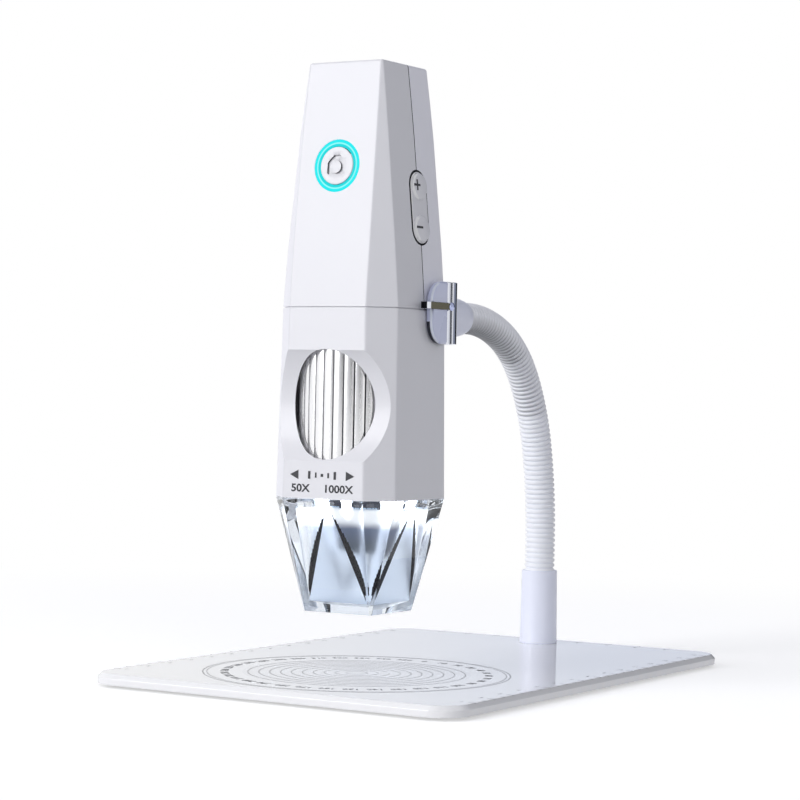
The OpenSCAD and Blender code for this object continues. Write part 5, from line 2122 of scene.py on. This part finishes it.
@dataclass
class Controls:
    """The snapshot button with its lit ring, and the rocking zoom key."""

    housing: Housing = field(default_factory=Housing)
    button_r: float = 5.2
    proud: float = 0.2
    back: float = 2.5
    ring_in: float = 5.28
    ring_r: float = 7.15
    ring_back: float = 2.2
    icon_w: float = 5.8
    icon_h: float = 3.7
    icon_depth: float = 0.6
    icon_roof: float = 2.9
    lens_r: float = 1.75
    key_proud: float = 0.18
    key_back: float = 2.33
    key_trim: float = 0.15
    dome_r: float = 3.75
    dome_h: float = 0.7
    dome_crown: float = 0.12
    mark: Spot = (3.0, 0.62)
    mark_shift: Spot = (-1.7, 0.25)

    def build(self) -> None:
        """Build the button, the ring and the key."""
        self.button()
        self.ring()
        self.key()

    def button(self) -> None:
        """Build the button disc with a sunk camera sign."""
        lathe_to_front = Matrix.Rotation(math.pi / 2, 4, "X")
        r, p = self.button_r, self.proud
        side = [(0, -self.back), (r, -self.back), (r, p - 0.3)]
        face = [(r - 0.1, p - 0.1), (r - 0.35, p), (r - 0.9, p - 0.04), (0, p - 0.04)]
        disc = Bench.lathe("snap_button_skin", [*side, *face])
        sign = Bench.prism("sign", self.icon_w, self.icon_h, 0.7, 1.0, steps=8)
        Bench.shift(sign, 0, -0.55, 0)
        hump = Bench.prism("hump", 3.9, 3.9, 0.2, 1.0, steps=4)
        Bench.move(hump, Matrix.Translation((0, 1.1, 0)) @ Matrix.Rotation(math.pi / 4, 4, "Z"))
        Bench.cut(hump, Bench.block("above", (-4, self.icon_roof, -1), (4, 6, 2)))
        Bench.cut(sign, hump, Cut.JOIN)
        lens = Bench.rod("lens", self.lens_r, (-0.3, -0.3, -1), (-0.3, -0.3, 2), 48)
        Bench.cut(sign, lens)
        Bench.shift(sign, 0, 0, p - self.icon_depth)
        Bench.cut(disc, sign)
        Bench.soften(disc, 0.06, 2, 40)
        Bench.move(disc, self.housing.on_front(self.housing.button_z) @ lathe_to_front)
        Bench.hand_over(disc, SHELL_WHITE, Body.SNAP_BUTTON, ["snap_button"])
        # Painted shade on the walls of the sunk sign.
        edge = 0.8 * r
        Bench.tint(disc, SEAM_SHADE, lambda middle, normal: abs(normal.y) < 0.5 and abs(middle.x) < edge)

    def ring(self) -> None:
        """Spin the lit ring, softly crowned."""
        a, b = self.ring_in, self.ring_r
        back = -self.ring_back
        profile = [(a, back), (b, back), (b, -0.1), (b - 0.12, 0.0), (a + 0.12, 0.0), (a, -0.1)]
        ring = Bench.lathe("light_ring_skin", profile, closed=True)
        place = self.housing.on_front(self.housing.button_z)
        Bench.move(ring, place @ Matrix.Rotation(math.pi / 2, 4, "X"))
        Bench.soften(ring, 0.0)
        finish = LightRing("ring_glow", "ring_glow", (0, 250, 240), centre=tuple(place.translation))
        Bench.hand_over(ring, finish, Body.MICROSCOPE, ["light_ring"])

    def key(self) -> None:
        """Build the stadium key with two domes and its plus and minus marks."""
        housing = self.housing
        wide, tall = housing.key_w - 2 * self.key_trim, housing.key_len - 2 * self.key_trim
        key = Bench.prism("zoom_key_skin", wide, tall, wide / 2, self.key_proud + self.key_back, 24)
        Bench.shift(key, 0.2, 0, -self.key_back)
        Bench.soften(key, 0.3, 4, 40)
        h, rise = self.dome_h, self.dome_crown
        edge = [math.radians(angle) for angle in range(0, 91, 15)]
        rounded = [(self.dome_r - h + h * math.cos(a), h * math.sin(a)) for a in edge]
        crown = [(self.dome_r * share, h + rise * (1 - share * share)) for share in (0.6, 0.4, 0.2, 0.0)]
        dome = Bench.lathe("dome", [(0, -0.5), (self.dome_r, -0.5), *rounded, *crown], steps=64)
        reach = (housing.key_len - housing.key_w) / 2
        upper = Bench.twin(dome, Matrix.Translation((0.2, reach, self.key_proud)))
        Bench.shift(dome, 0.2, -reach, self.key_proud)
        key = Bench.join([key, dome, upper], "zoom_key_skin")
        Bench.soften(key, 0.0, angle=30)
        face = Matrix(((0, 0, 1, 0), (1, 0, 0, 0), (0, 1, 0, 0), (0, 0, 0, 1)))
        place = housing.on_right(housing.key_z) @ face
        Bench.move(key, place)
        Bench.hand_over(key, SHELL_WHITE, Body.ZOOM_KEY, ["zoom_key"])
        # Painted highlight on the key's front-facing edges, and painted shade on its walls below the
        # housing's face.
        Bench.tint(key, KEY_EDGE_HIGHLIGHT, lambda middle, normal: normal.x < 0.97 and normal.y < -0.2)
        Bench.tint(key, SEAM_SHADE, lambda middle, normal: middle.x < housing.half_at(middle.z) - 0.05)
        long, thin = (side / 2 for side in self.mark)
        top = self.key_proud + self.dome_h + self.dome_crown
        across, up = self.mark_shift
        bars = []
        plus, minus = reach + up, up - reach
        for rise, wide, tall in ((plus, long, thin), (plus, thin, long), (minus, long, thin)):
            low = (across - wide, rise - tall, top - 0.2)
            bars.append(Bench.block("bar", low, (across + wide, rise + tall, top + 0.03)))
        marks = Bench.join(bars, "zoom_key_marks")
        Bench.soften(marks, 0.04, 2)
        Bench.move(marks, place)
        Bench.hand_over(marks, INK, Body.ZOOM_KEY)


@dataclass
class CameraView:
    """The camera at the photograph's angle."""

    place: Point = (0.3584, -0.6048, 0.0833)
    yaw: float = 31.305
    pitch: float = 0.344
    roll: float = 1.133
    lens: float = 109.85

    def build(self) -> None:
        """Set the camera up."""
        yaw, pitch, roll = (math.radians(a) for a in (self.yaw, self.pitch, self.roll))
        ahead = Vector((-math.sin(yaw) * math.cos(pitch), math.cos(yaw) * math.cos(pitch), -math.sin(pitch)))
        level = Vector((math.cos(yaw), math.sin(yaw), 0))
        upright = level.cross(ahead)
        right = level * math.cos(roll) + upright * math.sin(roll)
        up = upright * math.cos(roll) - level * math.sin(roll)
        data = bpy.data.cameras.new("camera")
        data.lens = self.lens
        data.sensor_width = 36.0
        camera = bpy.data.objects.new("camera", data)
        bpy.context.scene.collection.objects.link(camera)
        turn = Matrix((right, up, -ahead)).transposed().to_4x4()
        camera.matrix_world = Matrix.Translation(self.place) @ turn
        bpy.context.scene.camera = camera


@dataclass
class Studio:
    """Plain soft studio light over a pale floor with a white background."""

    surround: tuple[float, ...] = (0.92, 0.93, 1.0, 1.0)
    ambient: float = 0.42
    key_power: float = 54.0
    key_place: Point = (-1.28, -2.55, 1.12)
    key_size: float = 2.0
    fill_power: float = 2.7
    fill_place: Point = (1.02, -1.06, 0.48)
    fill_size: float = 0.6
    near: float = 0.16
    far: float = 0.42
    lift: float = 0.42
    paint: float = 0.95
    bounce: float = 0.55
    cards: tuple[Stop, ...] = (
        (0.0, (214, 214, 216)),
        (0.05, (250, 250, 250)),
        (0.14, (250, 250, 250)),
        (0.19, (226, 226, 227)),
        (0.25, (190, 190, 192)),
        (0.29, (110, 110, 112)),
        (0.335, (34, 34, 36)),
        (0.375, (48, 48, 50)),
        (0.40, (150, 150, 152)),
        (0.425, (250, 250, 250)),
        (0.48, (250, 250, 250)),
        (0.53, (170, 170, 172)),
        (0.58, (188, 188, 188)),
        (0.63, (246, 247, 250)),
        (0.665, (246, 247, 250)),
        (0.675, (150, 154, 166)),
        (0.715, (120, 126, 144)),
        (0.725, (22, 22, 26)),
        (0.78, (22, 22, 26)),
        (0.79, (222, 228, 242)),
        (0.825, (222, 228, 242)),
        (0.852, (255, 255, 255)),
        (1.0, (255, 255, 255)),
    )

    def build(self) -> None:
        """Set the view transform, the world, the lamps and the floor."""
        bpy.context.scene.view_settings.view_transform = "Standard"
        self.world()
        self.softbox("key_light", self.key_place, self.key_size, self.key_power)
        self.softbox("fill_light", self.fill_place, self.fill_size, self.fill_power)
        self.floor()

    def world(self) -> None:
        """Make an even grey surround; gloss and glass see the white background and dark cards."""
        world = bpy.data.worlds.new("studio")
        bpy.context.scene.world = world
        world.use_nodes = True
        world.node_tree.nodes.clear()
        tree = Tree(world.node_tree)
        light = tree.add("Background", {"Color": self.surround, "Strength": self.ambient})
        white = tree.add("Background", {"Color": (1.0, 1.0, 1.0, 1.0)})
        mirrored = tree.add("Background", {"Color": self.card_ring(tree)})
        path = tree.add("LightPath").outputs
        bent = tree.math("MAXIMUM", path["Is Glossy Ray"], path["Is Transmission Ray"])
        first = tree.add("MixShader", {0: bent, 1: light.outputs[0], 2: mirrored.outputs[0]})
        second = tree.add("MixShader", {0: path["Is Camera Ray"], 1: first.outputs[0], 2: white.outputs[0]})
        tree.add("OutputWorld", {"Surface": second.outputs[0]})

    def card_ring(self, tree: Tree) -> Socket:
        """Stand light and dark cards round the studio for metal and glass to mirror.

        Args:
            tree: The world's tree.

        Returns:
            The colour by direction.
        """
        parts = tree.add("SeparateXYZ", {0: tree.add("TexCoord").outputs["Generated"]}).outputs
        angle = tree.math("ARCTAN2", parts["Y"], parts["X"])
        return tree.ramp(tree.math("ADD", tree.math("DIVIDE", angle, math.tau), 0.5), self.cards)

    def softbox(self, name: str, place: Point, size: float, power: float) -> None:
        """Add a soft lamp that looks at the microscope.

        Args:
            name: Its name.
            place: Where it hangs, in metres.
            size: Its side.
            power: Its power in watts.
        """
        data = bpy.data.lights.new(name, "AREA")
        data.size = size
        data.energy = power
        lamp = bpy.data.objects.new(name, data)
        bpy.context.scene.collection.objects.link(lamp)
        aim = Vector((0, AXIS_Y * MM, 0.09)) - Vector(place)
        lamp.matrix_world = Matrix.Translation(place) @ aim.to_track_quat("-Z", "Y").to_matrix().to_4x4()

    def floor(self) -> None:
        """Lay a pale floor that keeps the shadow near the object and fades to white."""
        Bench.clear()
        bpy.ops.mesh.primitive_plane_add(size=12.0, location=(0, 0, -0.0001))
        floor = Bench.settle(bpy.context.object, "floor")
        made = bpy.data.materials.new("pale_floor")
        made.use_nodes = True
        tree = Tree(made.node_tree)
        shader = next(n for n in made.node_tree.nodes if n.type == "BSDF_PRINCIPLED")
        pale = (self.paint, self.paint, self.paint, 1.0)
        tree.feed(shader, {"Base Color": pale, "Roughness": 1.0, "Specular IOR Level": 0.0})
        dull = tree.add("BsdfDiffuse", {"Color": (self.bounce, self.bounce, self.bounce, 1.0)})
        white = tree.add("Emission")
        lift = tree.add("Emission", {"Strength": self.lift})
        spread = {"Value": tree.reach(tree.place()), "From Min": self.near, "From Max": self.far}
        fade = tree.add("MapRange", spread, interpolation_type="SMOOTHSTEP").outputs["Result"]
        lit = tree.add("AddShader", {0: shader.outputs[0], 1: lift.outputs[0]})
        seen = tree.add("MixShader", {0: fade, 1: lit.outputs[0], 2: white.outputs[0]})
        indirect = tree.add("LightPath").outputs["Is Diffuse Ray"]
        mix = tree.add("MixShader", {0: indirect, 1: seen.outputs[0], 2: dull.outputs[0]})
        out = next(n for n in made.node_tree.nodes if n.type == "OUTPUT_MATERIAL")
        tree.feed(out, {"Surface": mix.outputs[0]})
        floor.data.materials.append(made)


def main() -> None:
    """Build the scene in order."""
    logging.basicConfig(level=logging.INFO, format="%(message)s")
    CameraView().build()
    Studio().build()
    housing = Housing()
    stand = (Stage(), Post(), Gooseneck(), Holder())
    for part in (*stand, housing, FocusWheel(), Hood(), Optics(), Controls(housing)):
        LOG.info("building %s", type(part).__name__)
        part.build()
    Bench.clear()


if __name__ == "__main__":
    main()
